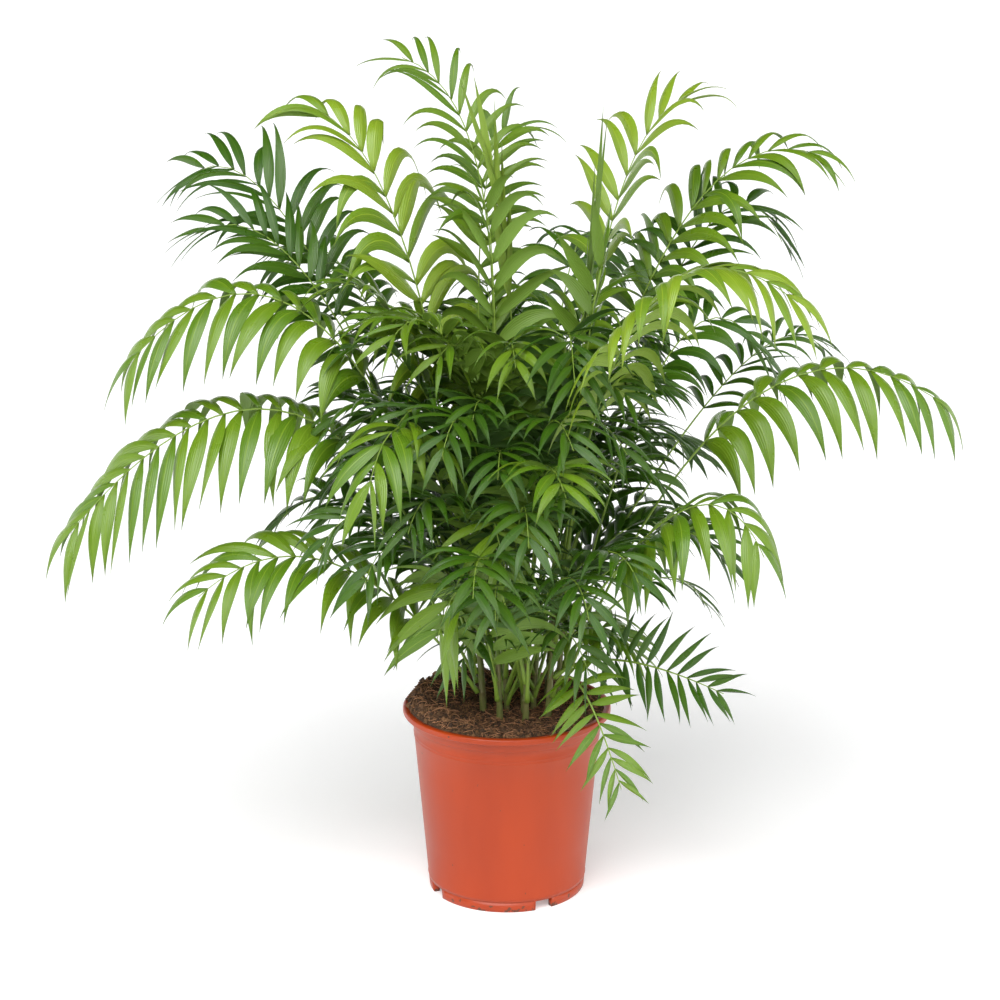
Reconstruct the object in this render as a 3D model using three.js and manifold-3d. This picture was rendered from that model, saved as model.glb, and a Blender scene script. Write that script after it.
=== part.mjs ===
import * as THREE from 'three';
import Module from 'manifold-3d';

const wasm = await Module();
wasm.setup();

// A parlour palm in a plastic nursery pot, in millimetres, +Z up. The origin is the middle of the
// pot's underside. A heading is an angle in degrees about Z, from +X towards +Y. A place on a frond
// is told as its distance out from the plant's axis along a heading and its height above the floor.

// Pot: a tapering wall, a collar, an overhanging lip, a foot ring with four notches round a channel.
const POT_HEIGHT = 224;
const LIP_RADIUS = 122;
const LIP_HEIGHT = 8;
const LIP_TOP_WIDTH = 6;
const COLLAR_HEIGHT = 20;
const COLLAR_STEP = 2.4;
const NECK_RADIUS = 112;
const FOOT_RADIUS = 92;
const WALL = 2.4;
const CHANNEL_HEIGHT = 12;
const FOOT_RING_WIDTH = 7;
const HUB_RADIUS = 54;
const NOTCH = { count: 4, first: 28, width: 22, height: 11.5, depth: 40 };
const POT_SEGMENTS = 48;

// Soil: fills the pot, level round the clump and mounded towards the rim at the back left.
const SOIL_TOP = 218;
const SOIL_FLAT_RADIUS = 62;
const SOIL_MOUND = { heading: 145, rise: 7 };
const SOIL_RINGS = [78, 96];
const SOIL_SEGMENTS = 32;
const SEAT_GAP = 0.3;

// Canes: a ring of green stems that lean outwards, each as tall as the fronds that it carries need.
const CLUMP_CENTRE = { x: 14, y: 0 };
const CANE = { count: 9, ring: 44, lean: 4, foot: 3.8, top: 2.8, first: 26, spacing: 23, sides: 8 };

// Shoots: slim stems within the ring of canes, each fused with its five short fronds.
const SHOOT = { count: 5, ring: 17, lean: 3, foot: 3.2, top: 2.6, first: 26, spacing: 18, fronds: 5 };

// Ribs: three-sided, thinning from the foot to the tip.
const RIB = { foot: 1.8, tip: 0.9, stalkSteps: 5, crestAt: 0.55, rolledAt: 0.3 };
const RIB_CLEARANCE = 4;
const TURN_STEP = 3;
const TURNS = 17;
const PUSH_STEP = 12;
const PUSHES = 4;
const SAMPLES = 24;

// Leaflets: pairs along the blade, each a thin leaf that widens, bends down and ends in a point.
// They are fewer than the living ones and broader.
const LEAFLET = {
  fewer: 0.66, root: 4, lift: 0.32, liftLost: 0.65, steepAngle: 80, forwardAngle: 28, turnPower: 1.2,
  upright: 0.38, spearAngle: 6,
  fullestAt: 0.42, shortAtFoot: 0.85, shortAtTip: 0.62, broaden: 1.25, thickness: 0.015,
  bend: 2.6, bendPower: 1.5, steps: 4, clearance: 0.4,
};
const PAST_ROOT = [0, 1, 1, 0];
const TRIES = [[1, 1], [1, 0.6], [1, 1.4], [0.75, 1], [0.75, 0.5], [0.55, 1], [0.55, 0.4]];

const TONES = {
  young: { color: '#7fae45', roughness: 0.42 },
  mature: { color: '#4f8a3a', roughness: 0.4 },
  shade: { color: '#356b2f', roughness: 0.45 },
};

// The fronds round the crown. Columns: name, heading, turn of the heading towards the tip, crest
// [out, up], rib tip [out, up], blade length, living leaflet pairs, leaflet length, leaflet width,
// droop, roll, tone.
const CROWN = [
  ['top_right', 115, -42, [66, 795], [96, 880], 200, 9, 84, 13, 0.4, 0, 'mature'],
  ['right_flat', 335, 0, [150, 298], [268, 276], 150, 12, 70, 9, 0.1, 60, 'shade'],
  ['right_young', 325, 0, [112, 690], [132, 760], 110, 4, 105, 18, 0.1, 0, 'mature'],
  ['right_upper', 26, 0, [250, 760], [362, 745], 250, 13, 100, 13, 0.5, 25, 'shade'],
  ['front_upper', 312, -20, [95, 665], [190, 640], 210, 12, 95, 14, 0.6, 0, 'shade'],
  ['left_long', 190, 0, [257, 586], [494, 456], 370, 18, 134, 21, 1.2, -27, 'mature'],
  ['left_top', 155, 0, [262, 752], [404, 826], 250, 13, 116, 14, 0.42, -33, 'shade'],
  ['left_small', 165, 0, [140, 545], [215, 585], 160, 8, 90, 17, 0.4, -10, 'shade'],
  ['left_top_small', 170, 0, [225, 716], [355, 768], 210, 12, 98, 13, 0.4, -30, 'shade'],
  ['left_mid', 188, 0, [232, 697], [422, 642], 330, 13, 120, 23, 1.15, -26, 'mature'],
  ['right_sweep', 309, 10, [236, 732], [389, 745], 350, 16, 120, 20, 0.95, 5, 'young'],
  ['right_long', 355, 0, [292, 605], [494, 589], 320, 12, 120, 23, 1.4, 21, 'mature'],
  ['right_hang', 308, 0, [138, 279], [206, 181], 160, 12, 66, 10, 0.15, 38, 'mature'],
  ['left_back_low', 160, 0, [195, 445], [290, 415], 210, 11, 90, 14, 0.6, -10, 'shade'],
  ['right_spear', 342, 0, [96, 753], [107, 828], 190, 3, 150, 13, 0.0, 0, 'mature'],
  ['right_low_back', 30, 0, [205, 345], [282, 300], 120, 8, 60, 8, 0.5, 10, 'shade'],
  ['left_sweep', 165, 0, [124, 772], [222, 909], 370, 14, 136, 22, 0.75, -26, 'young'],
  ['right_back', 25, 0, [305, 600], [420, 612], 200, 12, 80, 10, 0.5, 10, 'shade'],
  ['right_inner', 40, 0, [185, 515], [285, 485], 200, 11, 86, 12, 0.6, 10, 'shade'],
  ['front_centre', 284, 0, [150, 520], [240, 543], 150, 9, 100, 16, 0.5, 0, 'mature'],
  ['right_top', 28, -12, [240, 786], [376, 852], 320, 14, 116, 17, 0.7, 15, 'mature'],
  ['top_left', 150, 0, [32, 824], [136, 966], 250, 12, 96, 11, 0.45, -30, 'mature'],
  ['top_spear', 262, -45, [14, 760], [40, 875], 190, 4, 140, 13, 0.0, 0, 'young'],
  ['right_rise', 20, 0, [126, 785], [222, 918], 230, 9, 112, 17, 0.4, 6, 'young'],
  ['front_left', 228, 5, [150, 572], [246, 530], 220, 10, 110, 21, 0.95, 0, 'mature'],
  ['front_lower', 262, 8, [110, 475], [180, 430], 170, 11, 92, 13, 0.5, 0, 'mature'],
  ['front_low', 248, -12, [119, 399], [140, 340], 200, 11, 122, 22, 0.45, 0, 'mature'],
  ['right_low', 325, 0, [242, 499], [335, 458], 240, 10, 112, 20, 1.4, 22, 'mature'],
  ['left_low', 200, 0, [223, 422], [363, 393], 300, 14, 118, 18, 0.8, -24, 'mature'],
  ['top_front', 245, 0, [36, 725], [66, 815], 240, 8, 116, 18, 0.5, 0, 'mature'],
  ['right_mid', 10, 0, [205, 650], [315, 612], 230, 12, 96, 13, 0.6, 25, 'shade'],
];

// Fronds whose blade arches out over open space keep their stalk as a solid of its own.
const SPLIT_AT_BEND = [
  'right_long', 'right_top', 'right_sweep', 'right_low', 'left_sweep', 'left_mid', 'left_long', 'left_low',
];

// The fronds at the back, in three tiers across a half circle, and the shoots' own fronds.
const BACK = {
  count: 5, from: 50, span: 84, out: [235, 250, 215], up: [470, 690, 600], reach: 135, fall: [45, 5, 30],
  blade: 250, pairs: 13, leaf: 96, width: 15, droop: 0.6,
};
const INNER = {
  golden: 137.5, first: 40, out: [150, 120, 105, 90, 75], up: [435, 490, 550, 600, 650],
  reach: 90, rise: [-15, -10, 0, 15, 30], blade: 200, pairs: 12, leaf: 90, width: 14, droop: 0.5,
};

const up = new THREE.Vector3(0, 0, 1);
const radians = THREE.MathUtils.degToRad;

function seeded(seed) {
  let state = seed;
  return (low, high) => {
    state = (state * 1664525 + 1013904223) % 4294967296;
    return low + ((high - low) * state) / 4294967296;
  };
}

function heading(degrees) {
  return new THREE.Vector3(Math.cos(radians(degrees)), Math.sin(radians(degrees)), 0);
}

function place(degrees, [out, height]) {
  return heading(degrees).multiplyScalar(out).addScaledVector(up, height);
}

// ---- solids and meshes ----

function solidOf({ points, faces }) {
  const vertProperties = new Float32Array(points.flatMap((point) => point.toArray()));
  return new wasm.Manifold(new wasm.Mesh({ numProp: 3, vertProperties, triVerts: new Uint32Array(faces) }));
}

function shellOf(solid) {
  const { vertProperties, triVerts } = solid.getMesh();
  const points = [];
  for (let i = 0; i < vertProperties.length; i += 3) {
    points.push(new THREE.Vector3().fromArray(vertProperties, i));
  }
  return { points, faces: Array.from(triVerts) };
}

function meshOf(name, { points, faces }, finish) {
  const geometry = new THREE.BufferGeometry().setFromPoints(points);
  geometry.setIndex(faces);
  geometry.computeVertexNormals();
  const mesh = new THREE.Mesh(geometry, new THREE.MeshStandardMaterial({ metalness: 0, ...finish }));
  mesh.name = name;
  return mesh;
}

// A closed surface swept round Z from a profile of [radius, height] points, from axis to axis.
function turned(profile, segments, shift = () => 0) {
  const points = [];
  const faces = [];
  const rings = profile.map(([radius, height]) => {
    const ring = [];
    for (let k = 0; k < (radius ? segments : 1); k += 1) {
      const angle = (k * 360) / segments;
      ring.push(points.length);
      points.push(place(angle, [radius, height + shift(radius, height, angle)]));
    }
    return ring;
  });
  for (let i = 1; i < rings.length; i += 1) {
    for (let k = 0; k < segments; k += 1) {
      const low = rings[i - 1];
      const high = rings[i];
      const next = (k + 1) % segments;
      if (low.length > 1) faces.push(low[k], low[next], high[next % high.length]);
      if (high.length > 1) faces.push(low[k % low.length], high[next], high[k]);
    }
  }
  return { points, faces };
}

// A straight tapering stem with level rings, so its foot is a flat cut on the soil.
function stem(foot, top, footRadius, topRadius, sides) {
  const points = [];
  const faces = [];
  [[foot, footRadius], [top, topRadius]].forEach(([centre, radius]) => {
    for (let k = 0; k < sides; k += 1) {
      points.push(heading((k * 360) / sides).multiplyScalar(radius).add(centre));
    }
  });
  for (let k = 0; k < sides; k += 1) {
    const next = (k + 1) % sides;
    faces.push(k, next, sides + next, k, sides + next, sides + k);
    if (k > 1) faces.push(0, k, k - 1, sides, sides + k - 1, sides + k);
  }
  return { points, faces };
}

// ---- pot and soil ----

function wallRadius(height) {
  return FOOT_RADIUS + ((NECK_RADIUS - FOOT_RADIUS) * height) / POT_HEIGHT;
}

function pot() {
  const collar = POT_HEIGHT - COLLAR_HEIGHT;
  const lip = POT_HEIGHT - LIP_HEIGHT;
  const floor = CHANNEL_HEIGHT + WALL;
  const profile = [
    [0, 0],
    [HUB_RADIUS, 0],
    [HUB_RADIUS + 3, CHANNEL_HEIGHT],
    [FOOT_RADIUS - FOOT_RING_WIDTH - 1, CHANNEL_HEIGHT],
    [FOOT_RADIUS - FOOT_RING_WIDTH, 0],
    [FOOT_RADIUS, 0],
    [wallRadius(collar), collar],
    [wallRadius(collar) + COLLAR_STEP, collar + 3],
    [wallRadius(lip) + COLLAR_STEP, lip],
    [LIP_RADIUS - 1, lip],
    [LIP_RADIUS, lip + 2],
    [LIP_RADIUS, POT_HEIGHT - 2],
    [LIP_RADIUS - 2, POT_HEIGHT],
    [LIP_RADIUS - 2 - LIP_TOP_WIDTH, POT_HEIGHT],
    [wallRadius(lip) - WALL, lip],
    [wallRadius(floor) - WALL, floor],
    [HUB_RADIUS, floor],
    [HUB_RADIUS - 3, WALL],
    [0, WALL],
  ];
  let body = solidOf(turned(profile, POT_SEGMENTS));
  for (let k = 0; k < NOTCH.count; k += 1) {
    const angle = NOTCH.first + (k * 360) / NOTCH.count;
    body = body.subtract(solidOf(notchBlock(angle)));
  }
  return shellOf(body);
}

// The block that a foot notch takes out of the foot ring, on the given heading.
function notchBlock(angle) {
  const outward = heading(angle);
  const across = heading(angle + 90);
  const points = [];
  const faces = [0, 2, 1, 0, 3, 2, 4, 5, 6, 4, 6, 7];
  [-5, NOTCH.height].forEach((height) => {
    [[-1, -1], [1, -1], [1, 1], [-1, 1]].forEach(([out, side]) => {
      points.push(
        outward.clone().multiplyScalar(FOOT_RADIUS - 4 + (out * NOTCH.depth) / 4)
          .addScaledVector(across, (side * NOTCH.width) / 2)
          .addScaledVector(up, height),
      );
    });
  });
  for (let k = 0; k < 4; k += 1) {
    const next = (k + 1) % 4;
    faces.push(k, next, 4 + next, k, 4 + next, 4 + k);
  }
  return { points, faces };
}

function soil() {
  const floor = CHANNEL_HEIGHT + WALL;
  const lip = POT_HEIGHT - LIP_HEIGHT;
  const rim = wallRadius(lip) - WALL - SEAT_GAP;
  const shift = (radius, height, angle) => {
    if (height < SOIL_TOP || radius <= SOIL_FLAT_RADIUS) return 0;
    const ripple = 1.5 * Math.sin(radians(angle * 5)) + Math.cos(radians(angle * 9 + radius));
    return ripple + SOIL_MOUND.rise * Math.max(0, Math.cos(radians(angle - SOIL_MOUND.heading))) ** 2;
  };
  const profile = [
    [0, WALL + SEAT_GAP],
    [HUB_RADIUS - 3 - SEAT_GAP, WALL + SEAT_GAP],
    [HUB_RADIUS - SEAT_GAP, floor + SEAT_GAP],
    [wallRadius(floor) - WALL - SEAT_GAP * 2, floor + SEAT_GAP],
    [rim, lip],
    [rim, SOIL_TOP],
    ...SOIL_RINGS.slice().reverse().map((radius) => [radius, SOIL_TOP]),
    [SOIL_FLAT_RADIUS, SOIL_TOP],
    [0, SOIL_TOP],
  ];
  return turned(profile, SOIL_SEGMENTS, shift);
}

// ---- where the fronds grow ----

function crownFronds() {
  return CROWN.map(([name, way, turn, crest, tip, blade, pairs, leaf, width, droop, roll, tone]) => (
    {
      name, way, turn, crest, tip, blade, pairs, leaf, width, droop, roll, tone,
      spear: name.endsWith('spear'),
    }
  ));
}

function backFronds() {
  const random = seeded(7);
  return Array.from({ length: BACK.count }, (_, k) => {
    const tier = k % 3;
    const out = BACK.out[tier] + random(-15, 15);
    const height = BACK.up[tier] + random(-20, 20);
    const tip = [out + BACK.reach + random(-10, 20), height - BACK.fall[tier] + random(-15, 15)];
    const way = BACK.from + (BACK.span * k) / (BACK.count - 1);
    return {
      name: `back_${k + 1}`, way, turn: 0, crest: [out, height], tip, blade: BACK.blade, pairs: BACK.pairs,
      leaf: BACK.leaf, width: BACK.width, droop: BACK.droop, roll: 0, tone: 'shade', spear: false,
    };
  });
}

function innerFronds() {
  const random = seeded(21);
  return Array.from({ length: SHOOT.count * SHOOT.fronds }, (_, k) => {
    const tier = k % SHOOT.fronds;
    const out = INNER.out[tier] + random(-15, 15);
    const height = INNER.up[tier] + random(-30, 30);
    const tip = [out + INNER.reach + random(-10, 15), height + INNER.rise[tier] + random(-15, 15)];
    return {
      name: `inner_${k + 1}`, shoot: Math.floor(k / SHOOT.fronds), tier,
      way: (INNER.first + k * INNER.golden) % 360, turn: 0, crest: [out, height], tip, blade: INNER.blade,
      pairs: INNER.pairs, leaf: INNER.leaf, width: INNER.width, droop: INNER.droop, roll: 0,
      tone: tier === SHOOT.fronds - 1 ? 'mature' : 'shade', spear: false,
    };
  });
}

// The point at a height along a stem of the ring, and the stem's radius there.
function stemPoint(ring, index, height) {
  const outward = heading((index * 360) / ring.count);
  return new THREE.Vector3(CLUMP_CENTRE.x, CLUMP_CENTRE.y, SOIL_TOP + SEAT_GAP)
    .addScaledVector(outward, ring.ring + height * Math.sin(radians(ring.lean)))
    .addScaledVector(up, height * Math.cos(radians(ring.lean)));
}

function stemHeight(ring, carried) {
  return ring.first + ring.spacing * (carried - 1);
}

function angleBetween(a, b) {
  return Math.abs(((((a - b) % 360) + 540) % 360) - 180);
}

function steepness({ crest: [out, height] }) {
  return (height - SOIL_TOP) / out;
}

// Each frond goes to the cane nearest its heading. On a cane the steepest frond grows from the tip
// and the others stand off its side, the flattest lowest. A rib leaves about twice as steeply as its
// crest lies, and its upper corner turns away from the cane as it leans out.
function shareAmongCanes(fronds) {
  const canes = Array.from({ length: CANE.count }, () => []);
  fronds.forEach((frond) => {
    const angles = canes.map((_, k) => angleBetween(frond.way, (k * 360) / CANE.count));
    canes[angles.indexOf(Math.min(...angles))].push(frond);
  });
  canes.forEach((carried, cane) => {
    carried.sort((a, b) => steepness(a) - steepness(b));
    carried.forEach((frond, rank) => {
      const height = CANE.first + CANE.spacing * rank;
      const taper = height / stemHeight(CANE, carried.length);
      const rise = 2 * steepness(frond);
      frond.seat = stemPoint(CANE, cane, height);
      frond.standOff = CANE.foot + (CANE.top - CANE.foot) * taper + SEAT_GAP
        + (RIB.foot * rise) / Math.hypot(1, rise);
    });
    const last = carried.at(-1);
    last.standOff = 0;
    last.seat.z += RIB.foot / Math.hypot(1, steepness(last)) + SEAT_GAP;
  });
  return canes;
}

function seatInShoots(fronds) {
  fronds.forEach((frond) => {
    frond.seat = stemPoint(SHOOT, frond.shoot, SHOOT.first + SHOOT.spacing * frond.tier - RIB.foot);
    frond.standOff = 0;
  });
}

// The rib is one arch from its seat, through the crest, to the tip.
function ribCurve(frond, way, push) {
  const start = frond.seat.clone().addScaledVector(heading(way), frond.standOff);
  const crest = place(way, frond.crest).addScaledVector(heading(way), push);
  const tip = place(way + frond.turn, frond.tip).addScaledVector(heading(way + frond.turn), push);
  const t = RIB.crestAt;
  const control = crest.clone()
    .addScaledVector(start, -((1 - t) ** 2))
    .addScaledVector(tip, -(t * t))
    .divideScalar(2 * t * (1 - t));
  return new THREE.QuadraticBezierCurve3(start, control, tip);
}

function segmentGap(a, b, c, d) {
  const first = b.clone().sub(a);
  const second = d.clone().sub(c);
  const between = a.clone().sub(c);
  const firstSquare = first.lengthSq();
  const secondSquare = second.lengthSq();
  const cross = first.dot(second);
  const spread = firstSquare * secondSquare - cross * cross;
  const clamp = (value) => Math.min(1, Math.max(0, value));
  const onFirst = (s) => first.dot(between) * -1 + s * cross;
  const reach = cross * second.dot(between) - first.dot(between) * secondSquare;
  let s = spread > 1e-9 ? clamp(reach / spread) : 0;
  const t = clamp((cross * s + second.dot(between)) / secondSquare);
  s = clamp(onFirst(t) / firstSquare);
  return between.addScaledVector(first, s).addScaledVector(second, -t).length();
}

function lineGap(line, other) {
  let least = Infinity;
  for (let i = 1; i < line.length; i += 1) {
    for (let k = 1; k < other.length; k += 1) {
      least = Math.min(least, segmentGap(line[i - 1], line[i], other[k - 1], other[k]));
    }
  }
  return least;
}

// Each frond in turn is swung about the plant's axis, in small steps to either side, until its rib
// is clear of the stems and of the ribs before it. Where no swing is, it also reaches further out,
// and one that finds no room at all is left out.
function makeRoom(fronds, stems) {
  const placed = [];
  fronds.forEach((frond) => {
    let best = { room: -Infinity };
    for (let k = 0; k < TURNS * PUSHES && best.room < RIB_CLEARANCE; k += 1) {
      const swing = Math.ceil((k % TURNS) / 2) * TURN_STEP * (k % 2 ? 1 : -1);
      const way = frond.way + swing;
      const push = Math.floor(k / TURNS) * PUSH_STEP;
      const curve = ribCurve(frond, way, push);
      const line = curve.getPoints(SAMPLES);
      const others = placed.filter((other) => frond.shoot === undefined || other.shoot !== frond.shoot);
      const ribRoom = others.map((other) => lineGap(line, other.line));
      const stemRoom = stems.map(({ carries, line: axis, radius }) => {
        if (!carries.includes(frond)) return lineGap(line, axis) - radius + RIB.foot;
        return frond.standOff ? lineGap(line, axis) - frond.standOff + RIB_CLEARANCE + 0.2 : Infinity;
      });
      const room = Math.min(...ribRoom, ...stemRoom);
      if (room > best.room) best = { room, way, curve, line };
    }
    if (best.room < RIB_CLEARANCE) return;
    frond.way = best.way;
    frond.curve = best.curve;
    placed.push({ line: best.line, shoot: frond.shoot });
  });
  return fronds.filter(({ curve }) => curve);
}

// ---- fronds ----

// The point, direction and two cross directions of the rib at a distance along it.
function ribFrame(frond, distance) {
  const share = Math.min(1, distance / frond.curve.getLength());
  const along = frond.curve.getTangentAt(share);
  const left = heading(frond.way + frond.turn * share + 90);
  const over = along.clone().cross(left).normalize();
  left.crossVectors(over, along);
  const roll = radians(frond.roll * Math.min(1, share / RIB.rolledAt));
  return {
    point: frond.curve.getPointAt(share),
    along,
    left: left.clone().multiplyScalar(Math.cos(roll)).addScaledVector(over, Math.sin(roll)),
    over: over.clone().multiplyScalar(Math.cos(roll)).addScaledVector(left, -Math.sin(roll)),
    radius: RIB.foot + (RIB.tip - RIB.foot) * share,
  };
}

// Leaflets are longest a little way along the blade.
function leafletLength(frond, share) {
  const fullest = LEAFLET.fullestAt;
  if (share < fullest) {
    return frond.leaf * (1 - (1 - LEAFLET.shortAtFoot) * ((fullest - share) / fullest) ** 2);
  }
  return frond.leaf * (1 - (1 - LEAFLET.shortAtTip) * ((share - fullest) / (1 - fullest)) ** 2);
}

// A leaflet leaves the rib at an angle, which is sharper where the rib climbs, lifts off it a little
// unless the frond droops much, and bends down along its length by the droop. Its width lies along
// the rib at the root and turns with it, untwisted, to the middle.
function leafletLine(frond, frame, side, share, shorten, soften) {
  const { steepAngle, forwardAngle, turnPower, upright, spearAngle, bend, bendPower, steps } = LEAFLET;
  const turnedAngle = steepAngle + (forwardAngle - steepAngle) * share ** turnPower;
  const climb = 1 - upright * Math.max(0, frame.along.z);
  const angle = radians(frond.spear ? spearAngle : turnedAngle * climb);
  const lift = LEAFLET.lift * Math.max(0, 1 - LEAFLET.liftLost * frond.droop);
  const start = frame.along.clone().multiplyScalar(Math.cos(angle))
    .addScaledVector(frame.left, side * Math.sin(angle))
    .addScaledVector(frame.over, frond.spear ? 0 : lift)
    .normalize();
  const length = leafletLength(frond, share) * shorten;
  const across = frame.along.clone();
  const line = [frame.point.clone()];
  for (let k = 0; k < steps; k += 1) {
    const sink = frond.droop * soften * bend * ((k + 0.5) / steps) ** bendPower;
    const ahead = start.clone().addScaledVector(up, -sink).normalize();
    if (k < steps / 2) across.addScaledVector(ahead, -across.dot(ahead)).normalize();
    line.push(line[k].clone().addScaledVector(ahead, length / steps));
  }
  return { line, length, across };
}

// Three rib corners: over the rib, and low on either side.
function ribCorners({ point, left, over, radius }) {
  return [
    point.clone().addScaledVector(over, radius),
    point.clone().addScaledVector(over, -radius / 2).addScaledVector(left, radius * 0.87),
    point.clone().addScaledVector(over, -radius / 2).addScaledVector(left, -radius * 0.87),
  ];
}

// The four points past a leaflet's root: near edge, far edge, keel and tip.
function leafletPoints(frond, frame, side, share, shorten, soften) {
  const { line, length, across } = leafletLine(frond, frame, side, share, shorten, soften);
  const middle = line[LEAFLET.steps / 2];
  const ahead = line[LEAFLET.steps / 2 + 1].clone().sub(line[LEAFLET.steps / 2 - 1]).normalize();
  across.addScaledVector(ahead, -across.dot(ahead)).normalize();
  const keel = across.clone().cross(ahead).multiplyScalar(side);
  const half = (frond.width * (frond.spear ? 1 : LEAFLET.broaden)) / 2;
  return [
    middle.clone().addScaledVector(across, -half),
    middle.clone().addScaledVector(across, half),
    middle.clone().addScaledVector(keel, length * LEAFLET.thickness),
    line[LEAFLET.steps],
  ];
}

// Ten faces from the root (corners over near, over far, low far, low near) to the leaflet's point.
function leafletFaces([a, b, c, d], [near, far, keel, tip]) {
  return [
    a, b, keel, keel, b, far, b, c, far, far, c, d, d, near, far, near, d, a, near, a, keel,
    keel, far, tip, far, near, tip, near, keel, tip,
  ];
}

function mirrored(faces) {
  const flipped = [];
  for (let i = 0; i < faces.length; i += 3) flipped.push(faces[i], faces[i + 2], faces[i + 1]);
  return flipped;
}

// Where the leaflet pairs stand: their distance along the rib and their share of the blade.
function pairsOf(frond) {
  const length = frond.curve.getLength();
  const blade = Math.min(frond.blade, length * 0.85);
  const count = Math.round(frond.pairs * LEAFLET.fewer);
  return Array.from({ length: count }, (_, k) => {
    const share = (k + 0.3) / count;
    return { share, distance: length - blade * (1 - share) };
  });
}

// The closed shell of a rib between two distances, with whatever leaflets have been grown on it.
function frondShell(frond, from, to) {
  const pairs = pairsOf(frond).filter(({ distance }) => distance > from && distance < to);
  const bladeFrom = pairs.length ? pairs[0].distance - LEAFLET.root : to;
  const stations = [];
  for (let k = 0; k < RIB.stalkSteps; k += 1) {
    stations.push({ distance: from + ((bladeFrom - from) * k) / RIB.stalkSteps });
  }
  pairs.forEach(({ distance, share }) => {
    stations.push({ distance: distance - LEAFLET.root, share });
    stations.push({ distance: distance + LEAFLET.root });
  });
  if (!pairs.length) stations.push({ distance: to });
  const points = stations.flatMap(({ distance }) => ribCorners(ribFrame(frond, distance)));
  const faces = [0, 1, 2];
  stations.slice(1).forEach((_, i) => {
    const [over, left, right] = [3 * i, 3 * i + 1, 3 * i + 2];
    faces.push(left, left + 3, right + 3, left, right + 3, right);
    [[left, 1], [right, -1]].forEach(([low, side]) => {
      const root = [over, over + 3, low + 3, low];
      const leaflet = frond.grown?.get(`${stations[i].share} ${side}`);
      let patch = [over, over + 3, low + 3, over, low + 3, low];
      if (leaflet) {
        patch = leafletFaces(root, leaflet.map((_point, k) => points.length + k));
        points.push(...leaflet);
      }
      faces.push(...(side > 0 ? patch : mirrored(patch)));
    });
  });
  const [over, left, right] = [3, 2, 1].map((k) => 3 * stations.length - k);
  if (pairs.length) {
    const end = points.push(frond.curve.getPointAt(1)) - 1;
    faces.push(left, over, end, right, left, end, over, right, end);
  } else {
    faces.push(left, over, right);
  }
  return { points, faces };
}

// The obstacles that a leaflet keeps clear of, each with its box for a quick first test.
function obstacle(shell, frond) {
  const solid = solidOf(shell);
  const box = new THREE.Box3().setFromPoints(shell.points).expandByScalar(LEAFLET.clearance);
  return { solid, box, frond };
}

// Leaflets grow one by one. One that would touch something else, or its own rib past its root, is
// bent or shortened, or left out.
function growLeaflets(fronds, obstacles) {
  fronds.forEach((frond) => {
    frond.grown = new Map();
    pairsOf(frond).forEach(({ distance, share }) => {
      const near = ribCorners(ribFrame(frond, distance - LEAFLET.root));
      const far = ribCorners(ribFrame(frond, distance + LEAFLET.root));
      const frame = ribFrame(frond, distance);
      [1, -1].forEach((side) => {
        const low = side > 0 ? 1 : 2;
        const root = [near[0], far[0], far[low], near[low]];
        for (const [shorten, soften] of TRIES) {
          const leaflet = leafletPoints(frond, frame, side, share, shorten, soften);
          const closed = [...leafletFaces([0, 1, 2, 3], [4, 5, 6, 7]), 0, 2, 1, 0, 3, 2];
          const faces = side > 0 ? closed : mirrored(closed);
          const past = root.map((corner, k) => corner.clone().lerp(leaflet[PAST_ROOT[k]], 0.2));
          const trial = obstacle({ points: [...root, ...leaflet], faces }, null);
          const free = obstacle({ points: [...past, ...leaflet], faces }, null);
          const clear = obstacles.every((other) => {
            const own = other.frond === frond ? free : trial;
            if (!other.box.intersectsBox(own.box)) return true;
            return other.solid.minGap(own.solid, 1) >= LEAFLET.clearance;
          });
          if (clear) {
            frond.grown.set(`${share} ${side}`, leaflet);
            obstacles.push(trial);
            break;
          }
        }
      });
    });
  });
}

// ---- the plant ----

function stemShell(ring, index, carried) {
  const top = stemPoint(ring, index, stemHeight(ring, carried));
  return stem(stemPoint(ring, index, 0), top, ring.foot, ring.top, CANE.sides);
}

function stemAxis(ring, index, carried) {
  return [stemPoint(ring, index, 0), stemPoint(ring, index, stemHeight(ring, carried))];
}

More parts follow.
